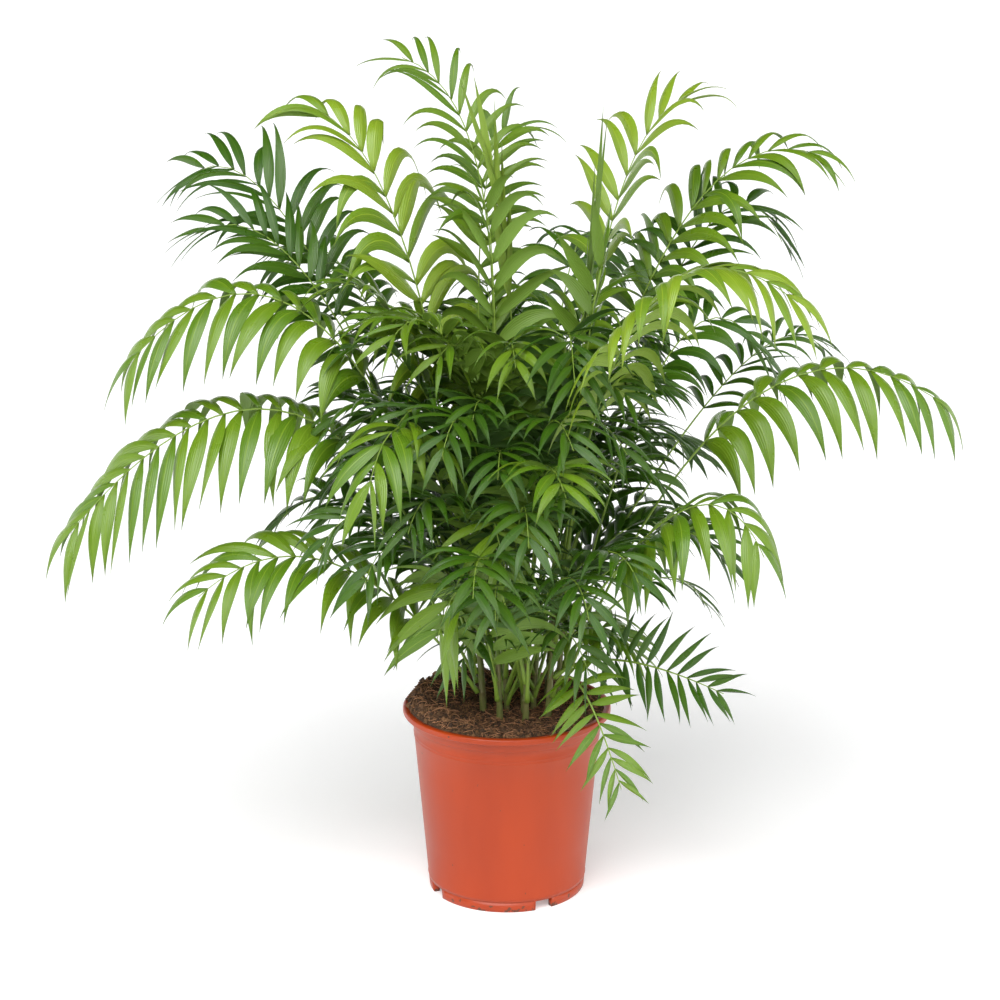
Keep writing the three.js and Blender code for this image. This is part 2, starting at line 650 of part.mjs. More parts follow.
function plant() {
  const crown = [...crownFronds(), ...backFronds()];
  const inner = innerFronds();
  const canes = shareAmongCanes(crown);
  seatInShoots(inner);
  const shoots = Array.from({ length: SHOOT.count }, (_, index) => (
    inner.filter(({ shoot }) => shoot === index)
  ));
  const stems = [
    ...canes.map((carries, k) => (
      { carries, line: stemAxis(CANE, k, carries.length), radius: CANE.foot }
    )),
    ...shoots.map((carries, k) => (
      { carries, line: stemAxis(SHOOT, k, carries.length), radius: SHOOT.foot }
    )),
  ];
  const fronds = makeRoom([...crown, ...inner], stems);

  const potShell = pot();
  const soilShell = soil();
  const caneShells = canes.map((carries, k) => stemShell(CANE, k, carries.length));
  const shootShells = shoots.map((carries, k) => stemShell(SHOOT, k, carries.length));
  const standing = [potShell, soilShell, ...caneShells, ...shootShells];
  const obstacles = standing.map((shell) => obstacle(shell, null));
  fronds.forEach((frond) => {
    obstacles.push(obstacle(frondShell(frond, 0, frond.curve.getLength()), frond));
  });
  growLeaflets(fronds, obstacles);

  const group = new THREE.Group();
  group.add(meshOf('pot', potShell, { color: '#cd5c42', roughness: 0.42 }));
  group.add(meshOf('soil', soilShell, { color: '#3c2319', roughness: 0.95 }));
  caneShells.forEach((shell, k) => {
    group.add(meshOf(`cane_${k + 1}`, shell, { color: '#5d8a3c', roughness: 0.5 }));
  });
  fronds.filter(({ shoot }) => shoot === undefined).forEach((frond) => {
    const length = frond.curve.getLength();
    let from = 0;
    if (SPLIT_AT_BEND.includes(frond.name)) {
      const bend = pairsOf(frond)[0].distance - 3 * LEAFLET.root;
      group.add(meshOf(`stalk_${frond.name}`, frondShell(frond, 0, bend), TONES[frond.tone]));
      from = bend + SEAT_GAP;
    }
    group.add(meshOf(`frond_${frond.name}`, frondShell(frond, from, length), TONES[frond.tone]));
  });
  shoots.forEach((carries, k) => {
    const joined = carries.filter(({ grown }) => grown).reduce(
      (body, frond) => body.add(solidOf(frondShell(frond, 0, frond.curve.getLength()))),
      solidOf(shootShells[k]),
    );
    group.add(meshOf(`shoot_${k + 1}`, shellOf(joined), TONES.shade));
  });
  return group;
}

export default plant();
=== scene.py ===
"""A parlour palm in a plastic nursery pot, dressed round its packed frame.

The tables below are in millimetres and turn into metres as each mesh is made. A heading is an angle
in degrees about +Z, from +X towards +Y. A place on a frond is told as its distance out from the
plant's axis along a heading and its height above the floor.
"""

import math
from dataclasses import dataclass, field

import bmesh
import bpy
import numpy as np
from bpy.props import FloatProperty, FloatVectorProperty, IntProperty, PointerProperty
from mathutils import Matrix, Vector, noise


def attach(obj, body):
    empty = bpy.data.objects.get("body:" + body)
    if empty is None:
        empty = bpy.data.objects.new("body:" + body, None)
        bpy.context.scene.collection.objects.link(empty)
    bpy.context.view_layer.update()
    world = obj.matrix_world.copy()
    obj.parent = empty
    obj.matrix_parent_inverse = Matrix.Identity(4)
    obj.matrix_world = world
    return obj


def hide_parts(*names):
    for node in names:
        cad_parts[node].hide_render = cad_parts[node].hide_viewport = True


bl_info = {
    "name": "Potted Parlour Palm",
    "version": (1, 0, 0),
    "blender": (4, 5, 0),
    "location": "3D View > Sidebar > Palm",
    "description": "Grows a parlour palm in a nursery pot round its packed frame",
    "category": "Add Mesh",
}

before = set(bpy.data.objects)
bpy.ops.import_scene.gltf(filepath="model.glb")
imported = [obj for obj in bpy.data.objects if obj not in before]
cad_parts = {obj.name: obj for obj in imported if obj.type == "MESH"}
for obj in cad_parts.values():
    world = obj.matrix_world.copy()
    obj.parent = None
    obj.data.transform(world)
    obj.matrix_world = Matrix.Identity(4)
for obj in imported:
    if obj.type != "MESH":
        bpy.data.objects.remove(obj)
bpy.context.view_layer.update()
SOLIDS = {solid.name for solid in bpy.data.objects if solid.type == "MESH"}
REPLACED = set()
BODY = "root"
MM = 0.001

# ---- the plant's rule, as the solids follow it ----

# The soil's level, the heading it is heaped towards and the ring of stems that rises from it.
SOIL_TOP = 218
HEAP_WAY = math.radians(160)
SEAT_GAP = 0.3
CLUMP_CENTRE = (14, 0)


@dataclass
class StemRing:
    """Stems that stand in a ring round the clump's centre and lean outwards."""

    count: int
    ring: float
    lean: float
    foot: float
    top: float
    first: float
    spacing: float
    fronds: int = 0

    def height(self, carried):
        """How tall a stem is that carries so many fronds."""
        return self.first + self.spacing * (carried - 1)

    def point(self, index, height):
        """The place on a stem's axis at a height along it."""
        lean = math.radians(self.lean)
        reach = heading(index * 360 / self.count) * (self.ring + height * math.sin(lean))
        base = np.array([*CLUMP_CENTRE, SOIL_TOP + SEAT_GAP])
        return base + reach + np.array([0, 0, height * math.cos(lean)])


CANE = StemRing(count=9, ring=44, lean=4, foot=3.8, top=2.8, first=26, spacing=23)
SHOOT = StemRing(count=5, ring=17, lean=3, foot=3.2, top=2.6, first=26, spacing=18, fronds=5)

# Half a rib's width at its foot, where along the arch its crest lies and its roll is complete, the
# space it keeps clear, the swings and pushes tried to find that space, and the steps along the arch
# while it is looked for and once it is found.
RIB_FOOT = 1.8
CREST_AT = 0.55
ROLLED_AT = 0.3
RIB_CLEARANCE = 4
CLEARANCE_PLAY = 0.2
TURN_STEP = 3
TURNS = 17
PUSH_STEP = 12
PUSHES = 4
SAMPLES = 24
FINE_SAMPLES = 96

# Leaflets lift off the rib unless the frond droops much, turn from steep to forward along the blade,
# sharper where the rib climbs, and bend down by droop.
LIFT = 0.32
LIFT_LOST = 0.65
UPRIGHT = 0.38
STEEP_ANGLE = 80
FORWARD_ANGLE = 28
SPEAR_ANGLE = 6
FULLEST_AT = 0.42
SHORT_AT_FOOT = 0.85
SHORT_AT_TIP = 0.62
BEND = 2.6
BEND_POWER = 1.5

# The fronds round the crown. Columns: name, heading, turn of the heading towards the tip, crest
# (out, up), rib tip (out, up), blade length, leaflet pairs, leaflet length, leaflet width, droop,
# roll, tone.
CROWN = (
    ("top_right", 115, -42, (66, 795), (96, 880), 200, 9, 84, 13, 0.4, 0, "mature"),
    ("right_flat", 335, 0, (150, 298), (268, 276), 150, 12, 70, 9, 0.1, 60, "shade"),
    ("right_young", 325, 0, (112, 690), (132, 760), 110, 4, 105, 18, 0.1, 0, "mature"),
    ("right_upper", 26, 0, (250, 760), (362, 745), 250, 13, 100, 13, 0.5, 25, "shade"),
    ("front_upper", 312, -20, (95, 665), (190, 640), 210, 12, 95, 14, 0.6, 0, "shade"),
    ("left_long", 190, 0, (257, 586), (494, 456), 370, 18, 134, 21, 1.2, -27, "mature"),
    ("left_top", 155, 0, (262, 752), (404, 826), 250, 13, 116, 14, 0.42, -33, "shade"),
    ("left_small", 165, 0, (140, 545), (215, 585), 160, 8, 90, 17, 0.4, -10, "shade"),
    ("left_top_small", 170, 0, (225, 716), (355, 768), 210, 12, 98, 13, 0.4, -30, "shade"),
    ("left_mid", 188, 0, (232, 697), (422, 642), 330, 13, 120, 23, 1.15, -26, "mature"),
    ("right_sweep", 309, 10, (236, 732), (389, 745), 350, 16, 120, 20, 0.95, 5, "young"),
    ("right_long", 355, 0, (292, 605), (494, 589), 320, 12, 120, 23, 1.4, 21, "mature"),
    ("right_hang", 308, 0, (138, 279), (206, 181), 160, 12, 66, 10, 0.15, 38, "mature"),
    ("left_back_low", 160, 0, (195, 445), (290, 415), 210, 11, 90, 14, 0.6, -10, "shade"),
    ("right_spear", 342, 0, (96, 753), (107, 828), 190, 3, 150, 13, 0.0, 0, "mature"),
    ("right_low_back", 30, 0, (205, 345), (282, 300), 120, 8, 60, 8, 0.5, 10, "shade"),
    ("left_sweep", 165, 0, (124, 772), (222, 909), 370, 14, 136, 22, 0.75, -26, "young"),
    ("right_back", 25, 0, (305, 600), (420, 612), 200, 12, 80, 10, 0.5, 10, "shade"),
    ("right_inner", 40, 0, (185, 515), (285, 485), 200, 11, 86, 12, 0.6, 10, "shade"),
    ("front_centre", 284, 0, (150, 520), (240, 543), 150, 9, 100, 16, 0.5, 0, "mature"),
    ("right_top", 28, -12, (240, 786), (376, 852), 320, 14, 116, 17, 0.7, 15, "mature"),
    ("top_left", 150, 0, (32, 824), (136, 966), 250, 12, 96, 11, 0.45, -30, "mature"),
    ("top_spear", 262, -45, (14, 760), (40, 875), 190, 4, 140, 13, 0.0, 0, "young"),
    ("right_rise", 20, 0, (126, 785), (222, 918), 230, 9, 112, 17, 0.4, 6, "young"),
    ("front_left", 228, 5, (150, 572), (246, 530), 220, 10, 110, 21, 0.95, 0, "mature"),
    ("front_lower", 262, 8, (110, 475), (180, 430), 170, 11, 92, 13, 0.5, 0, "mature"),
    ("front_low", 248, -12, (119, 399), (140, 340), 200, 11, 122, 22, 0.45, 0, "mature"),
    ("right_low", 325, 0, (242, 499), (335, 458), 240, 10, 112, 20, 1.4, 22, "mature"),
    ("left_low", 200, 0, (223, 422), (363, 393), 300, 14, 118, 18, 0.8, -24, "mature"),
    ("top_front", 245, 0, (36, 725), (66, 815), 240, 8, 116, 18, 0.5, 0, "mature"),
    ("right_mid", 10, 0, (205, 650), (315, 612), 230, 12, 96, 13, 0.6, 25, "shade"),
)
SPLIT_AT_BEND = (
    "right_long", "right_top", "right_sweep", "right_low",
    "left_sweep", "left_mid", "left_long", "left_low",
)

# The fronds at the back and those of the inner shoots, by tier. LEAVES are the blade length, leaflet
# pairs, leaflet length, leaflet width and droop.
BACK_SEED = 7
BACK_COUNT = 5
BACK_FROM = 50
BACK_SPAN = 84
BACK_OUT = (235, 250, 215)
BACK_UP = (470, 690, 600)
BACK_REACH = 135
BACK_FALL = (45, 5, 30)
BACK_LEAVES = (250, 13, 96, 15, 0.6)
INNER_SEED = 21
INNER_GOLDEN = 137.5
INNER_FIRST = 40
INNER_OUT = (150, 120, 105, 90, 75)
INNER_UP = (435, 490, 550, 600, 650)
INNER_REACH = 90
INNER_RISE = (-15, -10, 0, 15, 30)
INNER_LEAVES = (200, 12, 90, 14, 0.5)

# Finer fronds that each inner shoot bears besides, by the same rule, and the low ones at its foot.
FURTHER = 9
FURTHER_SHY = 9
LOW_SEED = 33
LOW_COUNT = 14
LOW_FROM = 252
LOW_SPAN = 240
LOW_OUT = (56, 72, 88)
LOW_UP = (330, 365, 318)
LOW_REACH = 48
LOW_FALL = (34, 40, 20)
LOW_SEAT = 8
LOW_SEAT_STEP = 3
LOW_LEAVES = (100, 7, 78, 12, 0.55)


@dataclass(eq=False)
class Frond:
    """One frond: where it goes, how long its blade is, what its leaflets are like and what it found.

    What it found is its stem, its seat there, the heading and push that left it room, and its line.
    """

    name: str
    way: float
    turn: float
    crest: tuple
    tip: tuple
    blade: float
    pairs: int
    leaf: float
    width: float
    droop: float
    roll: float
    tone: str
    shoot: int = -1
    stand_off: float = 0.0
    seat: np.ndarray = None
    room: tuple = None
    line: np.ndarray = None
    nodes: list = field(default_factory=list)

    @property
    def spear(self):
        return self.name.endswith("spear")

    @property
    def steepness(self):
        return (self.crest[1] - SOIL_TOP) / self.crest[0]


def heading(degrees):
    """The level unit vector on a heading."""
    return np.array([math.cos(math.radians(degrees)), math.sin(math.radians(degrees)), 0.0])


def place(degrees, spot):
    """The point that lies so far out on a heading and so far up."""
    return heading(degrees) * spot[0] + np.array([0.0, 0.0, spot[1]])


def seeded(seed):
    """The solids' own run of even random numbers."""
    state = seed

    def draw(low, high):
        nonlocal state
        state = (state * 1664525 + 1013904223) % 4294967296
        return low + (high - low) * state / 4294967296

    return draw


def crown_fronds():
    fronds = [Frond(*row) for row in CROWN]
    for frond in fronds:
        frond.nodes = [f"frond_{frond.name}"]
        if frond.name in SPLIT_AT_BEND:
            frond.nodes.append(f"stalk_{frond.name}")
    return fronds


def back_fronds():
    draw = seeded(BACK_SEED)
    fronds = []
    for k in range(BACK_COUNT):
        tier = k % 3
        out = BACK_OUT[tier] + draw(-15, 15)
        up = BACK_UP[tier] + draw(-20, 20)
        tip_out = out + BACK_REACH + draw(-10, 20)
        tip_up = up - BACK_FALL[tier] + draw(-15, 15)
        way = BACK_FROM + BACK_SPAN * k / (BACK_COUNT - 1)
        name = f"back_{k + 1}"
        frond = Frond(name, way, 0, (out, up), (tip_out, tip_up), *BACK_LEAVES, 0, "shade")
        frond.nodes = [f"frond_{name}"]
        fronds.append(frond)
    return fronds


def inner_fronds():
    draw = seeded(INNER_SEED)
    fronds = []
    for k in range(SHOOT.count * (SHOOT.fronds + FURTHER)):
        further = k >= SHOOT.count * SHOOT.fronds
        tier = k // SHOOT.count % SHOOT.fronds if further else k % SHOOT.fronds
        out = INNER_OUT[tier] + draw(-15, 15)
        up = INNER_UP[tier] + draw(-30, 30)
        tip_out = out + INNER_REACH + draw(-10, 15) - FURTHER_SHY * further
        tip_up = up + INNER_RISE[tier] + draw(-15, 15)
        way = (INNER_FIRST + k * INNER_GOLDEN) % 360
        tone = "mature" if tier == SHOOT.fronds - 1 else "shade"
        frond = Frond(f"inner_{k + 1}", way, 0, (out, up), (tip_out, tip_up), *INNER_LEAVES, 0, tone)
        frond.shoot = k % SHOOT.count if further else k // SHOOT.fronds
        frond.seat = SHOOT.point(frond.shoot, SHOOT.first + SHOOT.spacing * tier - RIB_FOOT)
        fronds.append(frond)
    return fronds


def low_fronds():
    """Short fronds whose leaflets hang over the soil."""
    draw = seeded(LOW_SEED)
    fronds = []
    for k in range(LOW_COUNT):
        tier = k % 3
        out = LOW_OUT[tier] + draw(-12, 12)
        up = LOW_UP[tier] + draw(-16, 16)
        tip = (out + LOW_REACH + draw(-12, 14), up - LOW_FALL[tier] + draw(-12, 12))
        way = LOW_FROM + k * LOW_SPAN / (LOW_COUNT - 1) + draw(-9, 9)
        tone = "mature" if tier else "shade"
        frond = Frond(f"low_{k + 1}", way, 0, (out, up), tip, *LOW_LEAVES, 0, tone)
        frond.shoot = k % SHOOT.count
        frond.seat = SHOOT.point(frond.shoot, LOW_SEAT + LOW_SEAT_STEP * tier)
        fronds.append(frond)
    return fronds


def angle_between(a, b):
    return abs((a - b + 180) % 360 - 180)


def share_among_canes(fronds):
    """Gives each frond to the cane nearest its heading, the steepest frond to the cane's tip.

    A rib leaves its seat about twice as steeply as its crest lies from the axis.
    """
    canes = [[] for _ in range(CANE.count)]
    for frond in fronds:
        angles = [angle_between(frond.way, k * 360 / CANE.count) for k in range(CANE.count)]
        canes[angles.index(min(angles))].append(frond)
    for index, carried in enumerate(canes):
        carried.sort(key=lambda frond: frond.steepness)
        for rank, frond in enumerate(carried):
            height = CANE.first + CANE.spacing * rank
            taper = height / CANE.height(len(carried))
            rise = 2 * frond.steepness
            frond.seat = CANE.point(index, height)
            frond.stand_off = CANE.foot + (CANE.top - CANE.foot) * taper + SEAT_GAP
            frond.stand_off += RIB_FOOT * rise / math.hypot(1, rise)
        carried[-1].stand_off = 0.0
        carried[-1].seat[2] += RIB_FOOT / math.hypot(1, carried[-1].steepness) + SEAT_GAP
    return canes


def rib_line(frond, way, push, samples=SAMPLES):
    """Points along the one arch from the frond's seat, through its crest, to its tip."""
    start = frond.seat + heading(way) * frond.stand_off
    crest = place(way, frond.crest) + heading(way) * push
    tip = place(way + frond.turn, frond.tip) + heading(way + frond.turn) * push
    t = CREST_AT
    control = (crest - (1 - t) ** 2 * start - t * t * tip) / (2 * t * (1 - t))
    u = np.linspace(0, 1, samples + 1)[:, None]
    return (1 - u) ** 2 * start + 2 * u * (1 - u) * control + u * u * tip


PARALLEL = 1e-9


def line_gaps(line, starts, ends):
    """The least distance from a jointed line to each of a list of straight pieces."""
    a, first = line[:-1, None], (line[1:] - line[:-1])[:, None]
    c, second = starts[None], (ends - starts)[None]
    between = a - c
    first_square = (first * first).sum(-1)
    second_square = (second * second).sum(-1)
    cross = (first * second).sum(-1)
    along_first = (first * between).sum(-1)
    along_second = (second * between).sum(-1)
    skew = first_square * second_square - cross * cross
    s = (cross * along_second - along_first * second_square) / np.maximum(skew, PARALLEL)
    s = np.where(skew > PARALLEL, np.clip(s, 0, 1), 0)
    t = np.clip((cross * s + along_second) / second_square, 0, 1)
    s = np.clip((cross * t - along_first) / first_square, 0, 1)
    return np.linalg.norm(between + first * s[..., None] - second * t[..., None], axis=-1).min(axis=0)


def make_room(fronds, stems):
    """Swings each frond about the plant's axis until its rib is clear of what stands there already."""
    placed = []
    axes = np.array([axis for _, axis, _ in stems])
    radii = np.array([radius for _, _, radius in stems])
    for frond in fronds:
        others = [other.line for other in placed if frond.shoot < 0 or other.shoot != frond.shoot]
        joints = np.array(others) if others else np.zeros((0, SAMPLES + 1, 3))
        starts, ends = joints[:, :-1].reshape(-1, 3), joints[:, 1:].reshape(-1, 3)
        allowed = RIB_FOOT - radii
        for k, (carries, _, _) in enumerate(stems):
            if frond in carries:
                own = RIB_CLEARANCE + CLEARANCE_PLAY - frond.stand_off
                allowed[k] = own if frond.stand_off else math.inf
        for k in range(TURNS * PUSHES):
            swing = math.ceil(k % TURNS / 2) * TURN_STEP * (1 if k % 2 else -1)
            push = k // TURNS * PUSH_STEP
            line = rib_line(frond, frond.way + swing, push)
            room = (line_gaps(line, axes[:, 0], axes[:, 1]) + allowed).min()
            if len(starts):
                room = min(room, line_gaps(line, starts, ends).min())
            if room >= RIB_CLEARANCE:
                frond.line = line
                frond.room = (frond.way + swing, push)
                placed.append(frond)
                break
    for frond in placed:
        frond.way = frond.room[0]
        frond.line = rib_line(frond, *frond.room, samples=FINE_SAMPLES)
    return placed


def grow_plan():
    """Every frond with its rib in place, and the fronds that each cane carries."""
    crown = crown_fronds() + back_fronds()
    inner = inner_fronds()
    canes = share_among_canes(crown)
    shoots = [inner[SHOOT.fronds * k : SHOOT.fronds * (k + 1)] for k in range(SHOOT.count)]
    stems = []
    for ring, groups in ((CANE, canes), (SHOOT, shoots)):
        for index, carries in enumerate(groups):
            tall = ring.fronds or len(carries)
            axis = np.array([ring.point(index, 0), ring.point(index, ring.height(tall))])
            stems.append((carries, axis, ring.foot))
    low = low_fronds()
    for index, group in enumerate(shoots):
        group += [frond for frond in inner + low if frond.shoot == index and frond not in group]
    return make_room(crown + inner + low, stems), canes


# ---- meshes ----

FULL_TURN = 2 * math.pi
WELD = 0.001


def mesh_from_arrays(name, points, faces, material_of_face, uvs=None, sharp=None):
    """One joined mesh from points in millimetres. Edges between points of one sharp tag stay crisp."""
    mesh = bpy.data.meshes.new(name)
    mesh.from_pydata(np.asarray(points) * MM, [], faces)
    mesh.polygons.foreach_set("material_index", np.asarray(material_of_face, dtype=np.int32))
    mesh.shade_smooth()
    if uvs is not None:
        layer = mesh.uv_layers.new(name="leaf")
        corners = np.empty(len(mesh.loops), dtype=np.int32)
        mesh.loops.foreach_get("vertex_index", corners)
        layer.data.foreach_set("uv", np.asarray(uvs)[corners].ravel())
    if sharp is not None:
        ends = np.empty(len(mesh.edges) * 2, dtype=np.int32)
        mesh.edges.foreach_get("vertices", ends)
        tags = np.asarray(sharp)[ends.reshape(-1, 2)]
        crisp = (tags[:, 0] == tags[:, 1]) & (tags[:, 0] > 0)
        mesh.attributes.new("sharp_edge", "BOOLEAN", "EDGE").data.foreach_set("value", crisp)
    mesh.update()
    return mesh


def tube_quads(sides, stations):
    """The faces of a tube by their corners: rings of so many points, one after another."""
    i, j = np.meshgrid(np.arange(sides), np.arange(stations - 1))
    a, b = (j * sides + i).ravel(), (j * sides + (i + 1) % sides).ravel()
    return np.stack([a, b, b + sides, a + sides], axis=-1)


def section_line(bm, section):
    """The vertices and edges of a section told as radii and heights."""
    corners = [bm.verts.new((radius, 0, height)) for radius, height in section]
    return corners + [bm.edges.new(pair) for pair in zip(corners, corners[1:])]


def spin(bm, geometry, steps, angle=FULL_TURN):
    """Turns a section about the upright axis."""
    bmesh.ops.spin(
        bm, geom=geometry, cent=(0, 0, 0), axis=(0, 0, 1), angle=angle, steps=steps,
        use_merge=angle == FULL_TURN,
    )


def mesh_from_bmesh(name, bm):
    """A mesh from a bmesh in millimetres, with its faces pointing outwards."""
    bmesh.ops.remove_doubles(bm, verts=bm.verts, dist=WELD)
    bmesh.ops.recalc_face_normals(bm, faces=bm.faces)
    bmesh.ops.scale(bm, verts=bm.verts, vec=(MM, MM, MM))
    mesh = bpy.data.meshes.new(name)
    bm.to_mesh(mesh)
    bm.free()
    mesh.shade_smooth()
    return mesh


def add_piece(name, mesh, materials, nodes=()):
    """Puts a finished mesh on the plant's body, in place of the CAD nodes that it stands for."""
    piece = bpy.data.objects.new(name, mesh)
    bpy.context.scene.collection.objects.link(piece)
    for material in materials:
        mesh.materials.append(material)
    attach(piece, BODY)
    if nodes:
        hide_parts(*nodes)
        REPLACED.update(nodes)
    return piece


# ---- materials ----


def new_material(name, base, roughness):
    """A material with its shader, and the node tree to add to."""
    material = bpy.data.materials.new(name)
    material.use_nodes = True
    shader = material.node_tree.nodes["Principled BSDF"]
    shader.inputs["Base Color"].default_value = (*base[:3], 1)
    shader.inputs["Roughness"].default_value = roughness
    material.diffuse_color = (*base[:3], 1)
    return material, shader


def add_node(material, kind, **settings):
    """A node whose sockets and properties are set by name."""
    node = material.node_tree.nodes.new(kind)
    for key, value in settings.items():
        if key in node.inputs:
            node.inputs[key].default_value = value
        else:
            setattr(node, key.lower(), value)
    return node


def link(material, source, target):
    material.node_tree.links.new(source, target)


def noise_on(material, scale, detail=3, vector=None):
    """Noise in the object's own coordinates, or along another vector."""
    texture = add_node(material, "ShaderNodeTexNoise", Scale=scale, Detail=detail)
    if vector is None:
        vector = add_node(material, "ShaderNodeTexCoord").outputs["Object"]
    link(material, vector, texture.inputs["Vector"])
    return texture.outputs["Fac"]


def spread(material, value, low, high):
    """A value of 0 to 1 stretched to run from low to high."""
    node = add_node(material, "ShaderNodeMapRange")
    node.inputs["To Min"].default_value = low
    node.inputs["To Max"].default_value = high
    link(material, value, node.inputs["Value"])
    return node.outputs["Result"]


def emboss(material, shader, height, depth):
    """Relief on the surface, its depth in metres."""
    bump = add_node(material, "ShaderNodeBump", Distance=depth, Strength=1.0)
    link(material, height, bump.inputs["Height"])
    link(material, bump.outputs["Normal"], shader.inputs["Normal"])


def blend_colours(material, shader, factor, first, second, start=0.0, end=1.0):
    """The base colour runs from the first colour to the second as the factor goes from start to end."""
    ramp = add_node(material, "ShaderNodeValToRGB")
    for stop, colour, position in zip(ramp.color_ramp.elements, (first, second), (start, end)):
        stop.color = (*colour[:3], 1)
        stop.position = position
    link(material, factor, ramp.inputs["Fac"])
    link(material, ramp.outputs["Color"], shader.inputs["Base Color"])
    return ramp


def toned(colour, shares, lift=(0, 0, 0)):
    """A colour with each channel taken by its share and lifted a little."""
    return [channel * share + more for channel, share, more in zip(colour, shares, lift)]


def leaf_material(name, colour, roughness):
    """Leaf skin: a plain colour with veins along the leaflet and an uneven satin sheen."""
    material, shader = new_material(name, colour, roughness)
    shader.inputs["IOR"].default_value = 1.47
    shader.inputs["Subsurface Weight"].default_value = 0.06
    shader.inputs["Subsurface Radius"].default_value = (0.4, 1.0, 0.2)
    shader.inputs["Subsurface Scale"].default_value = 0.0012
    leaf = add_node(material, "ShaderNodeUVMap", uv_map="leaf").outputs["UV"]
    veins = add_node(material, "ShaderNodeTexWave", Scale=2.3, Distortion=0.5, Detail=1.0)
    link(material, leaf, veins.inputs["Vector"])
    emboss(material, shader, veins.outputs["Fac"], 0.0002)
    sheen = spread(material, noise_on(material, 38), roughness - 0.08, roughness + 0.14)
    link(material, sheen, shader.inputs["Roughness"])
    return material


def rib_material(name, colour):
    """Petiole and rachis: smooth green with a faint lengthwise grain."""
    material, shader = new_material(name, colour, 0.45)
    emboss(material, shader, noise_on(material, 900), 0.00008)
    sheen = spread(material, noise_on(material, 60), 0.38, 0.55)
    link(material, sheen, shader.inputs["Roughness"])
    return material


def cane_material(sizes):
    """Green cane, mottled by noise with the brown of old sheaths."""
    material, shader = new_material("cane_skin", sizes.cane_colour, 0.5)
    blend_colours(material, shader, noise_on(material, 55, 5), sizes.cane_colour, sizes.sheath_colour)
    emboss(material, shader, noise_on(material, 700), 0.0002)
    return material


def pot_material(sizes):
    """Moulded plastic: terracotta with upright streaks, a fine grain and dirt at the foot."""
    material, shader = new_material("pot_plastic", sizes.colour, 0.36)
    shader.inputs["IOR"].default_value = 1.42
    place_in_pot = add_node(material, "ShaderNodeTexCoord").outputs["Object"]
    stretch = add_node(material, "ShaderNodeMapping")
    stretch.inputs["Scale"].default_value = (1, 1, 0.22)
    link(material, place_in_pot, stretch.inputs["Vector"])
    streaks = noise_on(material, 16, 4, stretch.outputs["Vector"])
    deep = toned(sizes.colour, (0.84, 0.8, 0.9))
    ramp = blend_colours(material, shader, streaks, deep, sizes.colour, 0.3, 0.62)
    height = add_node(material, "ShaderNodeSeparateXYZ")
    link(material, place_in_pot, height.inputs["Vector"])
    low = add_node(material, "ShaderNodeMapRange")
    low.inputs["From Max"].default_value = 0.012
    low.inputs["To Min"].default_value = 0.52
    low.inputs["To Max"].default_value = 0.74
    link(material, height.outputs["Z"], low.inputs["Value"])
    dirt = add_node(material, "ShaderNodeMath", operation="GREATER_THAN")
    link(material, noise_on(material, 170, 5), dirt.inputs[0])
    link(material, low.outputs["Result"], dirt.inputs[1])
    dirty = add_node(material, "ShaderNodeMix", data_type="RGBA")
    dirty.inputs["B"].default_value = (0.11, 0.035, 0.016, 1)
    link(material, dirt.outputs["Value"], dirty.inputs["Factor"])
    link(material, ramp.outputs["Color"], dirty.inputs[6])
    link(material, dirty.outputs[2], shader.inputs["Base Color"])
    emboss(material, shader, noise_on(material, 1400), 0.00003)
    gloss = noise_on(material, 30, 3, stretch.outputs["Vector"])
    link(material, spread(material, gloss, 0.25, 0.46), shader.inputs["Roughness"])
    return material


def soil_material(sizes):
    """Damp coir: brown crumbs, with near black patches of painted shade standing for the hollows."""
    material, shader = new_material("soil_coir", sizes.colour, 0.95)
    painted_hollow_shade = [channel * 0.35 for channel in sizes.colour]
    # The near black colour is painted shade of hollows between crumbs, spread by noise, not by the
    # relief.
    blend_colours(material, shader, noise_on(material, 260, 6), painted_hollow_shade, sizes.colour, 0.35, 0.7)
    emboss(material, shader, noise_on(material, 420, 6), 0.0016)
    return material


def crumb_material(name, colour):
    """A plain crumb or fibre colour with a rough grain."""
    material, shader = new_material(name, colour, 0.9)
    emboss(material, shader, noise_on(material, 1200), 0.0003)
    return material


# ---- settings ----


class StageSettings(bpy.types.PropertyGroup):
    """The camera, light and floor."""

    distance: FloatProperty(
        name="Camera distance", description="How far in front", default=2.6, unit="LENGTH"
    )
    eye_height: FloatProperty(
        name="Eye height", description="Above the floor", default=1.158, unit="LENGTH"
    )
    aside: FloatProperty(
        name="Aside", description="Camera's place along X", default=-0.008, unit="LENGTH"
    )
    pitch: FloatProperty(
        name="Pitch", description="Downwards tilt", default=math.radians(14.8), subtype="ANGLE"
    )
    lens: FloatProperty(name="Lens", description="Focal length in millimetres", default=84.42)
    sky: FloatProperty(name="Sky light", description="Even light from all round", default=0.03)
    key: FloatProperty(name="Key light", description="Soft light from the front left", default=3.05)
    key_turn: FloatVectorProperty(
        name="Key turn", description="Turn of the key light", default=(0.76, 0, -0.4), subtype="EULER"
    )
    fill: FloatProperty(name="Fill light", description="Soft light from the front right", default=1.5)
    fill_turn: FloatVectorProperty(
        name="Fill turn", description="Turn of the fill light", default=(0.84, 0, 0.62), subtype="EULER"
    )
    strip: FloatProperty(name="Strip lights", description="At either side, in watts", default=6.5)
    floor_colour: FloatVectorProperty(
        name="Floor", description="Floor colour", default=(0.8, 0.8, 0.8), subtype="COLOR"
    )
    wall_glow: FloatProperty(name="Wall glow", description="Light of the far white wall", default=0.6)
    floor_glow: FloatProperty(name="Floor glow", description="Light of the paper", default=0.3)


